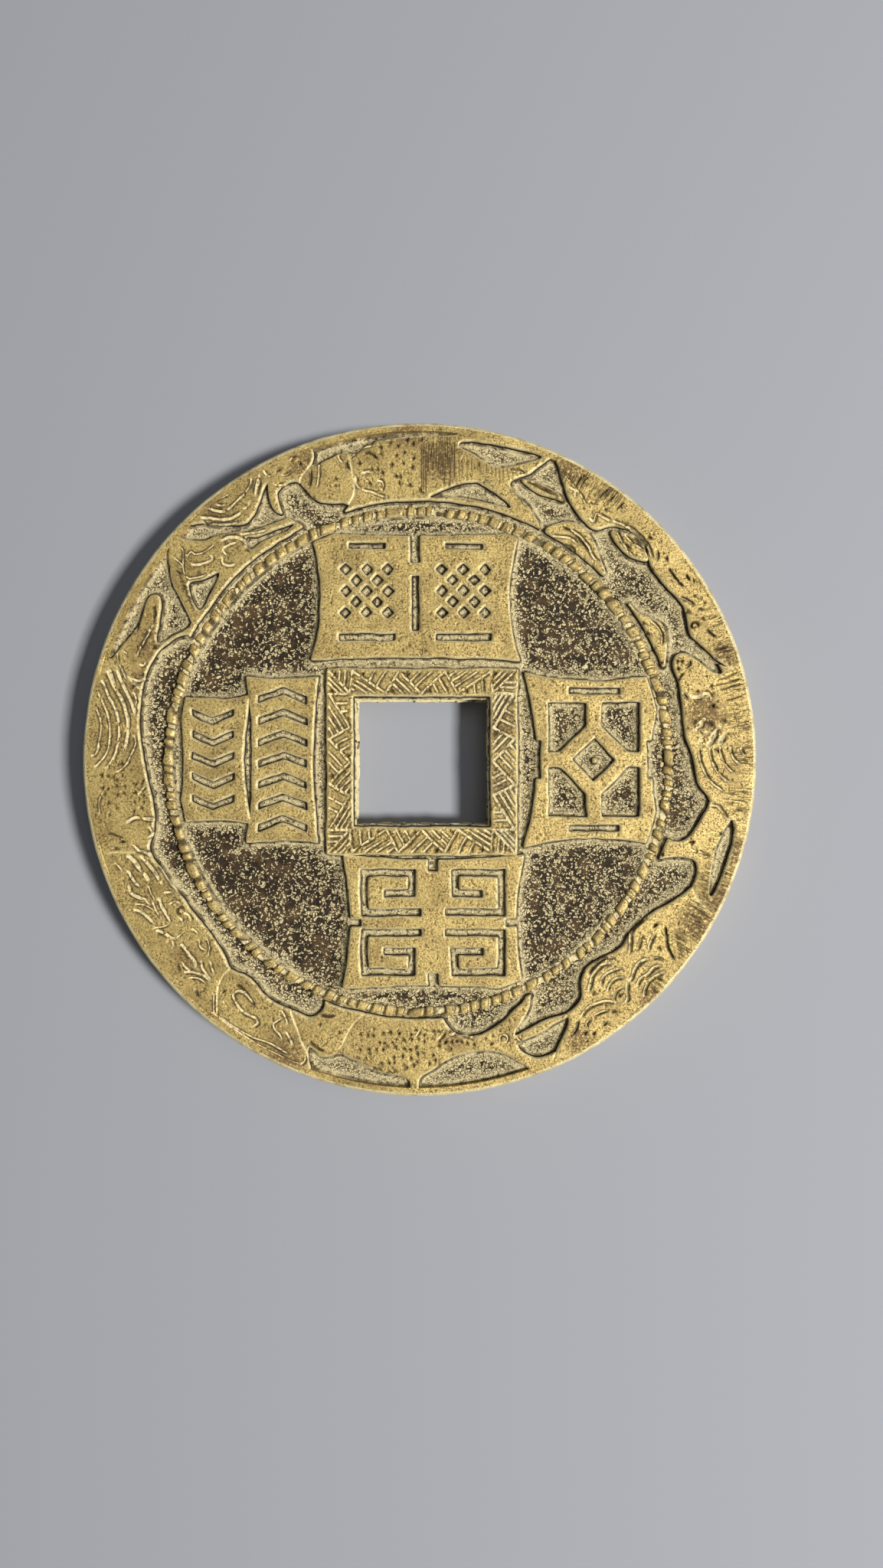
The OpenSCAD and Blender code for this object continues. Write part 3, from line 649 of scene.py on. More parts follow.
def whorl_left_marks():
    """Nested waves that bulge towards the rope, and the stippled ground below them."""
    return scale_marks([-27.8, -4.6], [-24.8, -1.2], 0.75, 161) + engrave(
        (0.28, -29, 5, -28.5, 4, -28.3, 3, -28.4, 1.7, -28.7, 0.6, -29.1, 0.3),
        (0.3, -28.6, 6, -28.1, 5, -27.7, 3.9, -27.5, 2.7, -27.5, 1.5, -27.9, 0.4, -28.8, -0.7),
        (0.36, -28.2, 7, -27.6, 5.6, -27, 4.4, -26.7, 3, -26.7, 1.6, -27.1, 0.4, -27.8, -0.8),
        (0.44, -27.7, 7.9, -27.2, 6.6, -26.6, 5.6, -26.2, 4.6, -25.9, 3.4, -25.9, 2.2, -26.1, 1),
        (0.44, -26.8, 7.8, -26.5, 6.9, -25.9, 5.7, -25.5, 4.7, -25.3, 4),
        (0.26, -25.3, 2.1, -25.2, 1.3, -25.6, 0.4, -26.1, -0.5, -26.8, -1.1),
        (0.36, -26.6, -0.1, -26.4, -0.6), (0.24, -28.1, -2.9, -28.4, -3.4, -28.5, -4, -28.4, -4.8),
        (0.3, -28.1, -2.3, -28.2, -2.8), (0.3, -29.2, -5.5, -28.7, -5.3), (0.3, -25.4, -2.4, -25.1, -2),
        (0.36, -24.9, -3.1, -24.6, -2.7, -24.3, -2.4), (0.24, -27.1, -1.3, -27.2, -1.9),
        (0.24, -28.1, -1.2, -28.4, -1.7),
    )


def horn_crest_marks():
    """Long cuts up the horn, a curl at its root and stipple beside it."""
    return engrave(
        (0.32, -23.7, 11.9, -24.3, 10.9, -24.7, 10.1, -25.1, 9.2),
        (0.2, -24.1, 11.6, -24.5, 10.6, -24.9, 9.6), (0.26, -26.8, 9.4, -26.7, 8.5, -26.4, 7.9, -26.1, 7.2),
        (0.26, -27.5, 8, -27.2, 7.2, -27, 6.6), (0.2, -23.6, 13.8, -23.5, 12.9, -23.7, 12.1),
        (0.24, -26.3, 9.6, -26, 9.4, -26, 9), (0.3, -24.8, 8.4, -24.5, 8.3, -24.3, 8.6),
        (0.4, -24.7, 7.6, -24.6, 7.4), (0.3, -25.6, 7.2, -25, 7, -24.4, 7.2), (0.3, -25.7, 6.4, -25.2, 6.7),
        (0.26, -25.4, 5.9, -25.2, 5.2, -25.3, 4.8), (0.2, -24.4, 14.2, -24.7, 12.9, -25.2, 11.4),
        (0.24, -23.1, 9.4, -22.6, 9.6), (0.24, -23.8, 10, -23.3, 9.9), (0.3, -27.9, 9.4, -27.8, 8.8),
    )


def cloud_head_marks():
    """Hooked lines on the head and a notched neck."""
    neck = ticks([-21.7, 16.9], [0.13, -0.32], 11, 0.8, -40, 0.2, 0.1, 171)
    return neck + engrave(
        (0.24, -21.3, 18.9, -21, 18.5, -21, 17.4, -20.9, 16.6, -20.5, 16.1, -19.7, 16.2, -19, 16.4),
        (0.24, -20.6, 18.1, -20.3, 18.5, -20, 18.3, -19.4, 18.4, -18.8, 18.7, -18.3, 19.1),
        (0.34, -20.2, 17.3, -19.6, 17.3, -18.9, 17.5, -18.4, 17.8, -18.5, 18.1),
        (0.24, -21.8, 17.9, -21.3, 17.5, -21, 17.1),
        (0.4, -17.6, 19.4, -17, 19.7, -16.2, 19.7, -15.6, 19.4, -15.1, 18.9),
        (0.34, -17.4, 18.8, -16.9, 19.1, -16.2, 19.3), (0.28, -17.5, 18.6, -17.3, 18.3, -16.8, 18.1),
        (0.34, -17.5, 17.9, -17.4, 17.4, -16.9, 17.2, -16.3, 17.3),
        (0.26, -15.9, 20, -15.2, 20.1, -14.4, 20.2, -13.6, 20.4), (0.3, -19.8, 16.6, -19.5, 16.5),
        (0.26, -15.5, 18.8, -15.2, 18.4),
    )


def wave_hump_marks():
    """Hairpin slots along the crest of the wave."""
    return ticks([-16.3, 24.4], [0.26, -0.22], 6, 0.9, -40, 0.12, 0.05, 181) + engrave(
        (0.36, -19.4, 21.5, -18.6, 21.4, -17.6, 21.3, -16.8, 21.4, -16.2, 21.7, -15.8, 22),
        (0.24, -19.3, 21.2, -19, 20.9, -18.2, 20.9, -17.2, 20.9, -16.2, 21),
        (0.34, -18.9, 22.4, -18.1, 22.1, -17.4, 22), (0.26, -18, 22.6, -17.3, 22.6),
        (0.3, -17, 22.2, -16.3, 22.9, -15.6, 23.6, -15.1, 24.3, -14.9, 25),
        (0.44, -14.6, 23.4, -14.5, 24.2, -14.2, 25.2), (0.3, -15.6, 22.3, -15.1, 22.8),
        (0.24, -18.4, 22.9, -17.7, 23.2, -16.9, 23.6), (0.3, -13.9, 25.7, -13.6, 25.3, -13.2, 25.2),
        (0.3, -11.5, 26.6, -11.2, 27, -10.9, 27.2), (0.22, -12.2, 25.2, -11.7, 25.4, -11.2, 25.7),
        (0.24, -10.8, 26.5, -10.5, 26.1), (0.2, -12.8, 25.5, -12.2, 25.9),
        (0.26, -12.9, 24.4, -12.3, 24.4, -11.8, 24.6),
    )


def collar_marks(node, side):
    """A zigzag round the collar, each of its triangles hatched along one leg."""
    loops = sorted(face_loops(node, side), key=lambda loop: np.ptp(loop[:, 0]))
    lip, teeth = 0.26, 4
    middle = loops[0].mean(0)
    inner = corners(loops[0]) + lip * np.sign(corners(loops[0]) - middle)
    outer = corners(loops[-1]) - lip * np.sign(corners(loops[-1]) - middle)
    marks = []
    for k in range(4):
        worn = 0.45 if k == 1 else 1.0
        along_in, along_out = inner[(k + 1) % 4] - inner[k], outer[(k + 1) % 4] - outer[k]
        zigzag = [outer[k]]
        for tooth in range(teeth):
            zigzag += [inner[k] + along_in * tooth / teeth, outer[k] + along_out * (tooth + 0.5) / teeth]
        zigzag += [inner[(k + 1) % 4], outer[(k + 1) % 4]]
        marks += [stroke([a, b], 0.32, 0.24 * worn) for a, b in zip(zigzag, zigzag[1:-1])]
        for a, b, c in zip(zigzag, zigzag[1:], zigzag[2:]):
            for share in (0.28, 0.52, 0.76):
                marks.append(stroke([a + (c - a) * share, b + (c - b) * share], 0.28, 0.2 * worn))
    return marks


def front_marks():
    """Every engraved line on the front's raised pieces."""
    makers = [fish_top_marks, band_marks, leaf_marks, lobe_marks, whorl_right_marks, fin_right_marks,
              waves_right_marks, fish_bottom_marks, lobe_lower_marks, waves_left_marks, whorl_left_marks,
              horn_crest_marks, cloud_head_marks, wave_hump_marks, nicks]
    marks = collar_marks("hole_collar_front", FRONT)
    for maker in makers:
        marks += maker()
    return marks


def back_marks():
    """A plain back: nests of arcs along the rim in two rows, and the same collar."""
    marks = collar_marks("hole_collar_back", BACK)
    count = 32
    for k in range(count):
        for row, radius in enumerate((27.9, 25)):
            angle = 360 / count * (k + 0.5 * row)
            marks += arcs(radius * heading(angle), [0.8, 1.5, 2.2], angle + 100, angle + 260, 0.26)
    return marks


# ---------------------------------------------------------------- relief pieces

def groove_field(points, strokes):
    """For every point: engraved depth in mm, how dark it is (patina in the groove and a halo of painted shade
    round it), and how filled with deposit it is.
    """
    if not strokes:
        return np.zeros((3, len(points)))
    counts = [len(line) for line, _, _ in strokes]
    widths = np.repeat([width for _, width, _ in strokes], counts)
    depths = np.repeat([depth for _, _, depth in strokes], counts)
    to_end = np.concatenate([np.minimum(np.arange(n), np.arange(n)[::-1]) for n in counts])
    taper = np.minimum(1, (to_end + 2) / np.minimum(6, 1 + np.repeat(counts, counts) / 2))
    distance, i = nearest(points, np.vstack([line for line, _, _ in strokes]))
    reach = widths[i] / 2 * (0.7 + 0.4 * taper[i]) * (1 + 0.3 * noise(points[:, 0], points[:, 1], 0.3, 22))
    into = np.clip(1.6 * (1 - distance / reach), 0, 1)
    into = into * into * (3 - 2 * into)
    uneven = 1 + 0.3 * noise(points[:, 0], points[:, 1], 0.6, 21)
    # Dark halo: patina inside the groove, with painted shade spreading past its edges.
    patina_and_shade = np.clip(1 - (distance - reach) / (0.7 * widths[i]), 0, 1) * taper[i]
    patina_and_shade = patina_and_shade * np.clip(widths[i] * 5, 0.5, 1)
    # Deposit fills only the wide lines, and none of the short ones.
    long = np.repeat(counts, counts)[i] > 12
    filled = into * long * np.clip(widths[i] / 0.09 - 1.9, 0, 1)
    return into * depths[i] * taper[i] * uneven, patina_and_shade, filled


def groove_rows(strokes):
    """Points along the bottom and both edges of every groove."""
    rows = []
    for line, width, _ in strokes:
        line = resample(line, FINE * 0.9)
        sideways = square_to(np.gradient(line, axis=0)) * width
        shares = (-0.52, -0.22, 0, 0.22, 0.52) if width > 0.2 else (-0.5, 0, 0.5)
        rows += [line + sideways * share for share in shares]
    rows = np.vstack(rows)
    _, first = np.unique(np.round(rows / 0.05), axis=0, return_index=True)
    return rows[np.sort(first)]


def swell(x, y):
    """The slow unevenness of the worn top faces."""
    return 0.035 * noise(x, y, 3.5, 11) + 0.016 * noise(x, y, 0.9, 12)


def spots(points, places):
    """How near every point is to a list of soft round spots, 0 to 1."""
    near = [np.exp(-((points[:, 0] - x) ** 2 + (points[:, 1] - y) ** 2) / r ** 2) for x, y, r in places]
    return np.max(near, axis=0)


def relief_piece(node, material, marks, side, step):
    """One raised piece: the CAD outline softened, with rounded shoulders and its engraving."""
    round_w, round_h = 0.22, 0.14
    loops = soft_loops(node, side, step)
    outline = np.vstack(loops)
    low, high = outline.min(0), outline.max(0)
    strokes = [mark for mark in marks if np.all(mark[0].max(0) > low) and np.all(mark[0].min(0) < high)]
    rows = inset_rows(loops, (0.05, 0.12, 0.21))
    inner = thin_out(hex_points(low, high, step), outline, 0.24)
    if strokes:
        grooves = groove_rows(strokes)
        grooves = grooves[np.all((grooves > low) & (grooves < high), axis=1)]
        grooves = thin_out(thin_out(grooves, outline, 0.09), rows, 0.05)
        inner = np.vstack([grooves, thin_out(inner, grooves, step * 0.55)])
    free = outline[np.hypot(outline[:, 0], outline[:, 1]) < RIM_OUT - 0.04]
    masks = {}

    def top(points):
        depth, masks["groove"], masks["cream"] = groove_field(points, strokes)
        masks["edge"] = np.clip(1 - nearest(points, free)[0] / round_w, 0, 1)
        shoulder = round_h * (1 - np.sqrt(1 - masks["edge"] ** 2))
        return COIN_T - WORN - shoulder - depth + swell(points[:, 0], points[:, 1])

    def bottom(points):
        return np.full(len(points), FIELD_Z - SUNK)

    wall = [(0.22, 0.06), (0.55, 0.12), (0.85, 0.22)]
    points, faces, down = closed_solid(loops, np.vstack([rows, inner]), top, np.zeros((0, 2)), bottom, wall)
    masks = {key: np.pad(values, (0, len(points) - len(values))) for key, values in masks.items()}
    masks["low"] = down
    for key, places in STAINS.items():
        masks[key] = spots(points, places) if side == FRONT else 0 * down
    add_piece(node + "_piece", to_side(points, side), faces, masks, material, node)


# ---------------------------------------------------------------- materials

class Shader:
    """A small helper that writes a node material one node a line."""

    def __init__(self, name):
        self.material = bpy.data.materials.new(name)
        self.material.use_nodes = True
        self.tree = self.material.node_tree
        self.tree.nodes.clear()
        self.output = self.add("ShaderNodeOutputMaterial")
        self.surface = self.add("ShaderNodeBsdfPrincipled")
        self.tree.links.new(self.surface.outputs[0], self.output.inputs[0])
        place = self.add("ShaderNodeTexCoord").outputs["Object"]
        self.place = self.add("ShaderNodeMapping", {"Vector": place, "Scale": (1000, 1000, 1000)}).outputs[0]

    def set(self, socket, value):
        """Links the value to a socket, or writes it there if it is a constant."""
        if isinstance(value, bpy.types.NodeSocket):
            self.tree.links.new(value, socket)
        else:
            socket.default_value = value

    def add(self, kind, inputs=None, **settings):
        """A new node with its inputs and its settings."""
        made = self.tree.nodes.new(kind)
        for key, value in settings.items():
            setattr(made, key, value)
        for key, value in (inputs or {}).items():
            self.set(made.inputs[key], value)
        return made

    def noise(self, scale, detail=2.0, rough=0.5, vector=None):
        """Noise whose bumps are about 1 / scale mm across."""
        inputs = {"Vector": vector or self.place, "Scale": scale, "Detail": detail, "Roughness": rough}
        return self.add("ShaderNodeTexNoise", inputs).outputs["Fac"]

    def mask(self, name):
        """One of the masks that add_piece writes on the mesh."""
        return self.add("ShaderNodeAttribute", attribute_name=name).outputs["Fac"]

    def ramp(self, value, low, high, start=0.0, end=1.0):
        """A value moved from low..high to start..end, and held at both ends."""
        inputs = {"Value": value, "From Min": low, "From Max": high, "To Min": start, "To Max": end}
        return self.add("ShaderNodeMapRange", inputs).outputs[0]

    def blotches(self, scale, low, high, start=0.0, end=1.0, detail=2.0, rough=0.5):
        """Noise with everything under low at start and everything over high at end."""
        return self.ramp(self.noise(scale, detail, rough), low, high, start, end)

    def math(self, operation, a, b):
        return self.add("ShaderNodeMath", {0: a, 1: b}, operation=operation).outputs[0]

    def times(self, a, b):
        return self.math("MULTIPLY", a, b)

    def plus(self, a, b):
        return self.math("ADD", a, b)

    def most(self, a, b):
        return self.math("MAXIMUM", a, b)

    def reach(self):
        """Distance from the centre of the coin, in mm."""
        return self.add("ShaderNodeVectorMath", {0: self.place}, operation="LENGTH").outputs["Value"]

    def mix(self, share, a, b):
        """Between two colours: inputs 6 and 7 and output 2 are the mix node's colour sockets."""
        return self.add("ShaderNodeMix", {0: share, 6: a, 7: b}, data_type="RGBA").outputs[2]

    def file_marks(self):
        """Fine dark lines that run square to the edge."""
        turn = self.add("ShaderNodeTexGradient", {"Vector": self.place}, gradient_type="RADIAL")
        around_rim = self.times(turn.outputs["Fac"], 1300)
        across = self.add("ShaderNodeCombineXYZ", {"X": around_rim, "Y": self.times(self.reach(), 0.7)})
        return self.ramp(self.noise(1, 2, 0.6, across.outputs[0]), 0.53, 0.6)

    def finish(self, color, roughness, metallic, bump_height, bump_depth):
        """Joins everything to the surface. bump_depth is in mm."""
        relief = {"Height": bump_height, "Distance": bump_depth * MM, "Strength": 1.0}
        bump = self.add("ShaderNodeBump", relief)
        self.set(self.surface.inputs["Base Color"], color)
        self.set(self.surface.inputs["Roughness"], roughness)
        self.set(self.surface.inputs["Metallic"], metallic)
        self.set(self.surface.inputs["Normal"], bump.outputs[0])
        return self.material


BRASS = (0.96, 0.73, 0.27, 1)
BRASS_DULL = (0.36, 0.25, 0.085, 1)
# Rubbed brass lightened further by a painted highlight, for the edges.
BRASS_RUBBED_AND_HIGHLIGHT = (1, 0.88, 0.5, 1)
TARNISH_BROWN = (0.2, 0.115, 0.05, 1)
PATINA = (0.035, 0.021, 0.01, 1)
PATINA_LIGHT = (0.15, 0.088, 0.036, 1)
DEPOSIT = (1, 0.87, 0.5, 1)
DEPOSIT_DULL = (0.64, 0.5, 0.25, 1)


def worn_brass(name):
    """Satin brass with dull patches, pits, part-filled engraving, brown spots and crusted walls, with rubbed
    edges lit by a painted highlight, and patina mixed with painted shade on the upper walls and round the
    engraving.
    """
    s = Shader(name)
    grain = s.noise(5, 3, 0.65)
    color = s.mix(s.blotches(0.3, 0.42, 0.68, 0.05, 0.6, detail=4, rough=0.6), BRASS, BRASS_DULL)
    color = s.mix(s.ramp(grain, 0.42, 0.68, 0.0, 0.75), color, BRASS_DULL)
    pits = s.times(s.blotches(3.6, 0.63, 0.7), s.blotches(0.5, 0.35, 0.6, 0.2, 1.0))
    color = s.mix(s.times(pits, 0.8), color, PATINA)
    specks = s.times(s.blotches(6, 0.56, 0.63, rough=0.6), s.blotches(0.7, 0.3, 0.6, 0.15, 0.9))
    color = s.mix(specks, color, TARNISH_BROWN)
    stain = s.times(s.ramp(s.mask("tarnish"), 0.15, 0.7), s.blotches(4, 0.4, 0.52, detail=3, rough=0.7))
    color = s.mix(s.times(stain, 0.85), color, TARNISH_BROWN)
    filed = s.times(s.ramp(s.mask("filed"), 0.25, 0.9), s.file_marks())
    color = s.mix(s.times(filed, 0.8), color, PATINA)
    # Edges lightened: rubbed brass mixed with a painted highlight.
    edge = s.times(s.ramp(s.mask("edge"), 0.15, 0.75), s.blotches(1.1, 0.3, 0.55, 0.25, 1.0))
    color = s.mix(edge, color, BRASS_RUBBED_AND_HIGHLIGHT)
    # Patina in the grooves, and painted shade round them, from the groove mask.
    groove = s.ramp(s.mask("groove"), 0.25, 1.0, 0.0, 0.85)
    color = s.mix(groove, color, PATINA)
    filled = s.times(s.ramp(s.mask("cream"), 0.4, 0.7), s.blotches(2.4, 0.36, 0.46, 0.35, 1.0))
    color = s.mix(filled, color, s.mix(s.ramp(grain, 0.3, 0.5), DEPOSIT_DULL, DEPOSIT))
    # Upper walls painted dark: patina mixed with painted shade where the walls drop to the field.
    wall = s.ramp(s.mask("low"), 0.02, 0.15)
    color = s.mix(wall, color, PATINA)
    crust = s.times(s.ramp(s.mask("low"), 0.42, 0.7), s.blotches(2.6, 0.34, 0.46, detail=3))
    color = s.mix(crust, color, DEPOSIT)
    # Dirt together with the painted shade of walls and grooves sets roughness and metal.
    dirt_and_shade = s.most(s.most(groove, wall), s.most(pits, s.most(stain, filed)))
    streak = s.add("ShaderNodeMapping", {"Vector": s.place, "Rotation": (0, 0, 0.6), "Scale": (0.6, 9, 1)})
    height = s.plus(s.times(grain, 0.6), s.times(s.noise(1.5, 3, 0.6, streak.outputs[0]), 0.4))
    height = s.math("SUBTRACT", height, s.times(s.most(filed, specks), 0.5))
    return s.finish(color, s.ramp(dirt_and_shade, 0, 1, 0.5, 0.85), s.ramp(dirt_and_shade, 0, 1, 0.42, 0.05), height, 0.09)


def field_patina(name):
    """Dark brass under pale grains, which grow and run together into a smooth bank along the walls, with a
    line of painted shade in the crease at each wall's foot.
    """
    s = Shader(name)
    near = s.mask("deposit")
    shove = s.add("ShaderNodeTexNoise", {"Vector": s.place, "Scale": 1.5, "Detail": 2.0}).outputs["Color"]
    place = s.add("ShaderNodeVectorMath", {0: s.place, 1: shove}, operation="ADD").outputs[0]
    grains = {"Vector": place, "Scale": 3.8}
    cell = s.add("ShaderNodeTexVoronoi", grains)
    gap = s.add("ShaderNodeTexVoronoi", grains, feature="DISTANCE_TO_EDGE")
    lower_right = {0: s.place, 1: (1, -0.3, 0)}
    right = s.add("ShaderNodeVectorMath", lower_right, operation="DOT_PRODUCT").outputs["Value"]
    # Each grain has a size of its own, larger near the walls, outside the rope and to the right.
    size = s.plus(cell.outputs["Color"], s.blotches(0.45, 0.3, 0.7, -0.1, 0.14, detail=3))
    size = s.plus(size, s.ramp(near, 0, 0.5, 0, 0.38))
    size = s.plus(size, s.ramp(s.reach(), 22.5, 23.5, 0, 0.1))
    size = s.plus(size, s.ramp(right, -10, 10, 0, 0.1))
    dots = s.math("SUBTRACT", s.times(size, 0.74), cell.outputs["Distance"])
    crust = s.times(s.ramp(dots, -0.02, 0.07), s.ramp(gap.outputs["Distance"], 0.02, 0.12, 0.2, 1))
    bank = s.times(s.ramp(near, 0.45, 0.9), s.blotches(3.2, 0.36, 0.46, 0.2, 1.0, detail=3))
    crust = s.most(crust, bank)
    fine = s.noise(9, 2, 0.6)
    base = s.mix(s.blotches(0.8, 0.45, 0.7, detail=3), PATINA, PATINA_LIGHT)
    pale = s.mix(s.ramp(fine, 0.35, 0.6), DEPOSIT_DULL, DEPOSIT)
    # Painted shade: a dark line in the crease at the foot of every wall.
    wall_foot_shade = s.times(s.ramp(near, 0.875, 0.94), s.blotches(0.9, 0.36, 0.56, 0.2, 0.8, detail=3))
    color = s.mix(wall_foot_shade, s.mix(crust, base, pale), PATINA)
    height = s.plus(s.times(crust, 0.8), s.times(fine, 0.3))
    return s.finish(color, s.ramp(crust, 0, 1, 0.7, 0.95), s.ramp(crust, 0, 1, 0.2, 0.0), height, 0.35)


# ---------------------------------------------------------------- flan, band and rope rings

def plan_mask(nodes, side, cell):
    """Which cells of a square grid over the coin lie under the raised pieces."""
    size = int(2 * COIN_R / cell) + 2
    mask = np.zeros((size, size), bool)
    for node in nodes:
        place, faces = flat_face(node, side)
        place = place if side == FRONT else flip(place)
        for tri in (place[face] for face in faces):
            lo = np.floor((tri.min(0) + COIN_R) / cell).astype(int)
            hi = np.ceil((tri.max(0) + COIN_R) / cell).astype(int) + 1
            x, y = np.meshgrid(np.arange(lo[0], hi[0]), np.arange(lo[1], hi[1]), indexing="ij")
            px, py = x * cell - COIN_R, y * cell - COIN_R
            covered = np.ones(px.shape, bool)
            for a, b in zip(tri, np.roll(tri, -1, axis=0)):
                covered &= (b[0] - a[0]) * (py - a[1]) - (b[1] - a[1]) * (px - a[0]) >= -1e-9
            mask[x[covered], y[covered]] = True
    return mask


def field_points(side, nodes, step):
    """Lattice points for one face of the flan: close together where it shows, sparse elsewhere."""
    cell = 0.1
    mask = plan_mask(nodes, side, cell)
    points = hex_points((-RIM_OUT, -RIM_OUT), (RIM_OUT, RIM_OUT), step)
    points = points[np.hypot(points[:, 0], points[:, 1]) < RIM_OUT - 0.3]
    spot = np.round((points + COIN_R) / cell).astype(int)
    hidden = mask[spot[:, 0], spot[:, 1]]
    for shift in ((3, 0), (-3, 0), (0, 3), (0, -3)):
        near = np.clip(spot + shift, 0, len(mask) - 1)
        hidden &= mask[near[:, 0], near[:, 1]]
    sparse = lattice_value(*np.round(points / step * 2).T, 55) > 0.9
    return points[~hidden | sparse]


def ring_circle(node):
    """The centre and the outer radius of a ring in the CAD, in mm."""
    low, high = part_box(node)
    return np.array([low.x + high.x, low.y + high.y]) / 2 / MM, (high.x - low.x) / 2 / MM


def rope_bank(x, y):
    """Deposit banked inside the rope ring, 0 to 1: most at the upper left, least at the lower right."""
    centre, radius = ring_circle("rope_ring_front")
    across, up = x - centre[0], y - centre[1]
    gap = radius - 1 - np.hypot(across, up)
    from_upper_left = np.arctan2(up, across) - math.radians(150)
    share = 0.78 + 0.2 * np.cos(from_upper_left) + 0.3 * noise(x, y, 3, 45)
    return np.clip(share, 0, 1) * np.exp(-(gap / 0.52) ** 2)


def field_height(points, walls):
    """Height of the pitted field, with deposits banked against the walls, and how near a wall is."""
    x, y = points[:, 0], points[:, 1]
    outside_rope = np.hypot(x, y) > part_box("rope_ring_front")[1].x / MM
    bank_width = np.where(outside_rope, 1.0, 0.75)
    near = np.maximum(np.exp(-(nearest(points, walls)[0] / bank_width) ** 2), rope_bank(x, y))
    rough = 0.045 * noise(x, y, 0.55, 41) + 0.06 * noise(x, y, 0.32, 42) + 0.03 * noise(x, y, 2.4, 43)
    floor, bank_height = FIELD_Z - 0.03, 0.36
    return floor + rough * (1 - 0.5 * near) + bank_height * near, near


def flan_piece(material, pieces, outlines):
    """The core disc with its hole and the pitted field of both faces."""
    loops = soft_loops("flan", FRONT, FINE * 1.3, 0.2, 0.04)
    flipped = [flip(loop) for loop in loops]
    walls = {FRONT: np.vstack(outlines[FRONT] + loops), BACK: np.vstack(outlines[BACK] + flipped)}

    def visible(side, step):
        points = field_points(side, pieces[side], step)
        return thin_out(points if side == FRONT else flip(points), np.vstack(loops), step)

    def top(points):
        return field_height(points, walls[FRONT])[0]

    def bottom(points):
        return COIN_T - field_height(flip(points), walls[BACK])[0]

    wall = [(k / 6, 0.03 * math.sin(k * 2.1)) for k in range(1, 6)]
    shown = [visible(FRONT, FIELD_STEP), visible(BACK, COARSE * 1.3)]
    points, faces, down = closed_solid(loops, shown[0], top, shown[1], bottom, wall)
    near_front = field_height(points[:, :2], walls[FRONT])[1]
    near_back = field_height(flip(points[:, :2]), walls[BACK])[1]
    near = np.where(points[:, 2] > COIN_T / 2, near_front, near_back)
    near = np.where((down > 0) & (down < 1), 0.25, near)
    add_piece("flan_piece", points, faces, {"deposit": near}, material, "flan")


def swept_ring(name, rows, masks, material, node):
    """A closed ring of rows, each an array of (count, 3) points, joined in a loop both ways."""
    across, count = len(rows), len(rows[0])
    faces = []
    for i in range(count):
        for j in range(across):
            here, after = i * across, (i + 1) % count * across
            faces.append([here + j, after + j, after + (j + 1) % across, here + (j + 1) % across])
    points = np.stack(rows, 1).reshape(-1, 3)
    masks = {key: np.stack(value, 1).ravel() for key, value in masks.items()}
    add_piece(name, points, faces, masks, material, node)


def edge_band_piece(material):
    """The bevelled edge: an uneven double line on each face, small dents on the side."""
    count = 1100
    angle = np.linspace(0, 2 * np.pi, count, endpoint=False)
    along = angle * COIN_R
    inner = RIM_OUT - 0.02
    # Each is the distance out from inner, the depth under the face, and 1 in the cut line.
    lines = [(0, 0.05, 0), (0.12, 0.04, 0), (0.2, 0.08, 1), (0.28, 0.04, 0), (0.4, 0.05, 0)]
    half = [(inner + out, depth, cut) for out, depth, cut in lines]
    # Each is the distance in from the edge and the depth under the face.
    bevel = [(0.34, 0.04), (0.24, 0.08), (0.12, 0.17), (0.03, 0.3), (0, 0.5), (0, 1.0), (0, 1.5)]
    half += [(COIN_R - inset, depth, 0) for inset, depth in bevel]
    half = [(r, COIN_T - depth, cut) for r, depth, cut in half]
    profile = half + [(COIN_R, COIN_T / 2, 0)] + [(r, COIN_T - z, cut) for r, z, cut in reversed(half)]
    rows, masks = [], {"edge": [], "groove": [], "low": [], "tarnish": [], "filed": []}
    for r, z, cut in profile:
        x, y = r * np.cos(angle), r * np.sin(angle)
        outside = r > COIN_R - 0.15
        level = z + 0 * angle
        dent = 0.02 * noise(along, level, 0.8, 61) + 0.035 * noise(along, level, 5, 62)
        reach = r - np.abs(dent) * outside + 0.03 * noise(x, y, 1.5, 63) * cut
        shown = np.clip(0.2 + 1.3 * noise(x, y, 2, 64), 0, 1) * cut
        face_lift = swell(x, y) + 0.04 * cut * (1 - shown)
        height = z + face_lift * (0 if outside else 1 if z > COIN_T / 2 else -1)
        rows.append(np.stack([reach * np.cos(angle), reach * np.sin(angle), height], 1))
        # The bevel gets edge value 1: rubbed brass with a painted highlight.
        masks["edge"].append(np.full(count, 1.0 if COIN_R - 0.35 < r < COIN_R - 0.01 else 0.1))
        masks["groove"].append(0.3 * shown)
        masks["low"].append(0 * angle)
        stained = np.clip(1.3 * noise(along, level, 2.5, 65), 0, 1) * outside
        for key, places in STAINS.items():
            masks[key].append(spots(np.stack([x, y], 1), places) if z > COIN_T - 0.1 else stained)
    swept_ring("edge_band_piece", rows, masks, material, "edge_band")


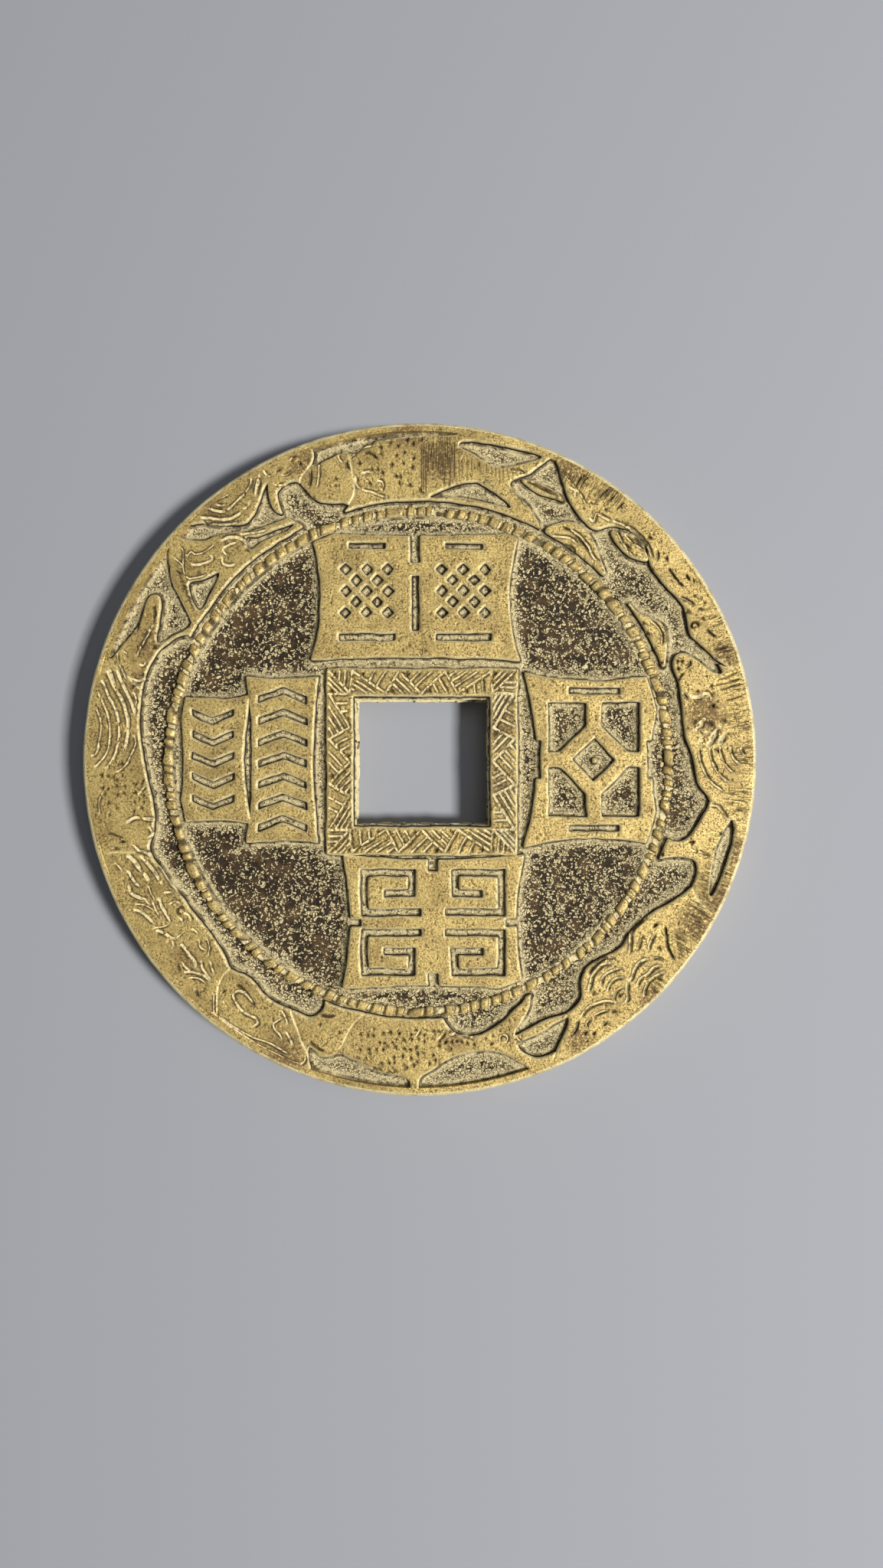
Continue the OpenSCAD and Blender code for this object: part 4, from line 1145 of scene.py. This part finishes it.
def rope_ring_piece(node, material, side):
    """A flat-topped band cut into uneven cells by slightly slanted notches, worn down in places."""
    beads, steps = 118, 14
    centre, radius = ring_circle(node)
    half_width = 0.45
    middle = radius - half_width
    along = np.arange(beads * steps) / steps
    angle = along / beads * 2 * np.pi
    reach = angle * middle
    kept = np.clip(0.9 + 0.7 * noise(reach, 0 * angle, 3.2, 71), 0.5, 1)
    # Each is the place across the band, from -1 to 1, and the height above the field.
    profile = [(-1, -0.1), (-0.97, 0.15), (-0.9, 0.36), (-0.7, 0.5), (-0.3, 0.55), (0.15, 0.55), (0.6, 0.52),
               (0.86, 0.4), (0.97, 0.2), (1, -0.1)]
    rows, masks = [], {"groove": [], "cream": [], "edge": [], "low": []}
    for v, z in profile:
        uneven = 0.45 * noise(reach, 0 * angle, 1.3, 72) + 0.2 * noise(reach, 0 * angle, 4, 73)
        turn = (along + 0.08 * v + 0.1 * noise(reach, 0 * angle + v, 1.5, 76) + uneven) % 1
        ragged = 0.12 * noise(reach, 0 * angle, 2, 77)
        notch = np.clip((np.abs(2 * turn - 1) - 0.5 - ragged) / 0.3, 0, 1) * kept
        drop = 0.36 * notch * (1 - 0.3 * abs(v)) * (z > 0)
        r = middle + v * half_width * (1 - 0.3 * notch) + 0.1 * noise(reach, 0 * angle + v, 0.9, 74)
        x, y = centre[0] + r * np.cos(angle), centre[1] + r * np.sin(angle)
        rows.append(np.stack([x, y, FIELD_Z + z - drop + 0.06 * noise(reach, 0 * angle, 2, 75) * (z > 0)], 1))
        masks["groove"].append(np.clip(2 * notch, 0, 1))
        masks["cream"].append(np.clip(2.2 * notch - 1.1, 0, 1))
        # The rope's shoulders get a painted highlight along with the rubbed brass.
        masks["edge"].append(np.full(len(angle), 0.5 if 0.6 < abs(v) < 0.95 else 0.1) * (1 - notch))
        # Low values darken the sides with patina and painted shade; below the field they take deposit.
        masks["low"].append(np.full(len(angle), 0.6 if z < 0 else 0.12 if z < 0.3 else 0.0))
    if side == BACK:
        rows = [row * np.array([1, 1, -1]) + np.array([0, 0, COIN_T]) for row in reversed(rows)]
        masks = {key: value[::-1] for key, value in masks.items()}
    swept_ring(node + "_piece", rows, masks, material, node)


# ---------------------------------------------------------------- build

def build():
    """Every piece on its CAD node, the flan last because its field follows the other outlines."""
    brass, field = worn_brass("worn_brass"), field_patina("field_patina")
    round_nodes = ("flan", "edge_band", "rope_ring_front", "rope_ring_back")
    shaped = [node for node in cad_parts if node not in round_nodes]
    backs = [node for node in shaped if "back" in node]
    raised = {FRONT: [node for node in shaped if node not in backs], BACK: backs}
    marks = {FRONT: front_marks(), BACK: back_marks()}
    steps = {FRONT: FINE, BACK: COARSE}
    outlines = {FRONT: [], BACK: []}
    for side, nodes in raised.items():
        for node in nodes:
            relief_piece(node, brass, marks[side], side, steps[side])
            outlines[side] += soft_loops(node, side, steps[side])
    edge_band_piece(brass)
    rope_ring_piece("rope_ring_front", brass, FRONT)
    rope_ring_piece("rope_ring_back", brass, BACK)
    flan_piece(field, raised, outlines)


def stage():
    """A pale floor and a weak even sky."""
    bpy.ops.mesh.primitive_plane_add(size=COIN_R * MM * 60, location=(0, 0, 0))
    floor = bpy.context.object
    floor.name = "floor"
    paper = bpy.data.materials.new("pale_paper")
    paper.use_nodes = True
    surface = paper.node_tree.nodes["Principled BSDF"]
    surface.inputs["Base Color"].default_value = (0.42, 0.44, 0.49, 1)
    surface.inputs["Roughness"].default_value = 0.9
    floor.data.materials.append(paper)
    world = bpy.context.scene.world or bpy.data.worlds.new("World")
    bpy.context.scene.world = world
    world.use_nodes = True
    world.node_tree.nodes["Background"].inputs["Color"].default_value = (0.9, 0.93, 1, 1)
    world.node_tree.nodes["Background"].inputs["Strength"].default_value = 0.09


def area_light(name, turn, tilt, distance, size, watts, color):
    """A lamp aimed at the coin: turn from +X and tilt above the floor in degrees, sizes in mm."""
    light = bpy.data.lights.new(name, "AREA")
    light.size = size * MM
    light.energy = watts
    light.color = color
    lamp = bpy.data.objects.new(name, light)
    turn, tilt = math.radians(turn), math.radians(tilt)
    way = Vector((math.cos(turn) * math.cos(tilt), math.sin(turn) * math.cos(tilt), math.sin(tilt)))
    lamp.location = way * distance * MM
    lamp.rotation_euler = (-way).to_track_quat("-Z", "Y").to_euler()
    bpy.context.scene.collection.objects.link(lamp)


def camera():
    """Straight down. The coin sits a little left of and above the middle of a tall frame."""
    lens, sensor = 20.0, 36.0
    image_tall, image_wide = 2048, 1153
    radius_share = 0.383
    distance = image_tall * lens / sensor * COIN_R / (radius_share * image_wide)
    data = bpy.data.cameras.new("camera")
    data.lens = lens
    data.sensor_width = sensor
    data.clip_start = 0.005
    view = bpy.data.objects.new("camera", data)
    right, up = 0.0645 * COIN_R, -0.0724 * COIN_R
    view.location = Vector((right, up, COIN_T + distance)) * MM
    bpy.context.scene.collection.objects.link(view)
    bpy.context.scene.camera = view


build()
stage()
area_light("key", -16, 50, 600, 100, 3.75, (1, 0.97, 0.92))
area_light("fill", 50, 66, 350, 160, 0.08, (0.98, 0.98, 1))
bpy.context.scene.view_settings.view_transform = "Standard"
camera()
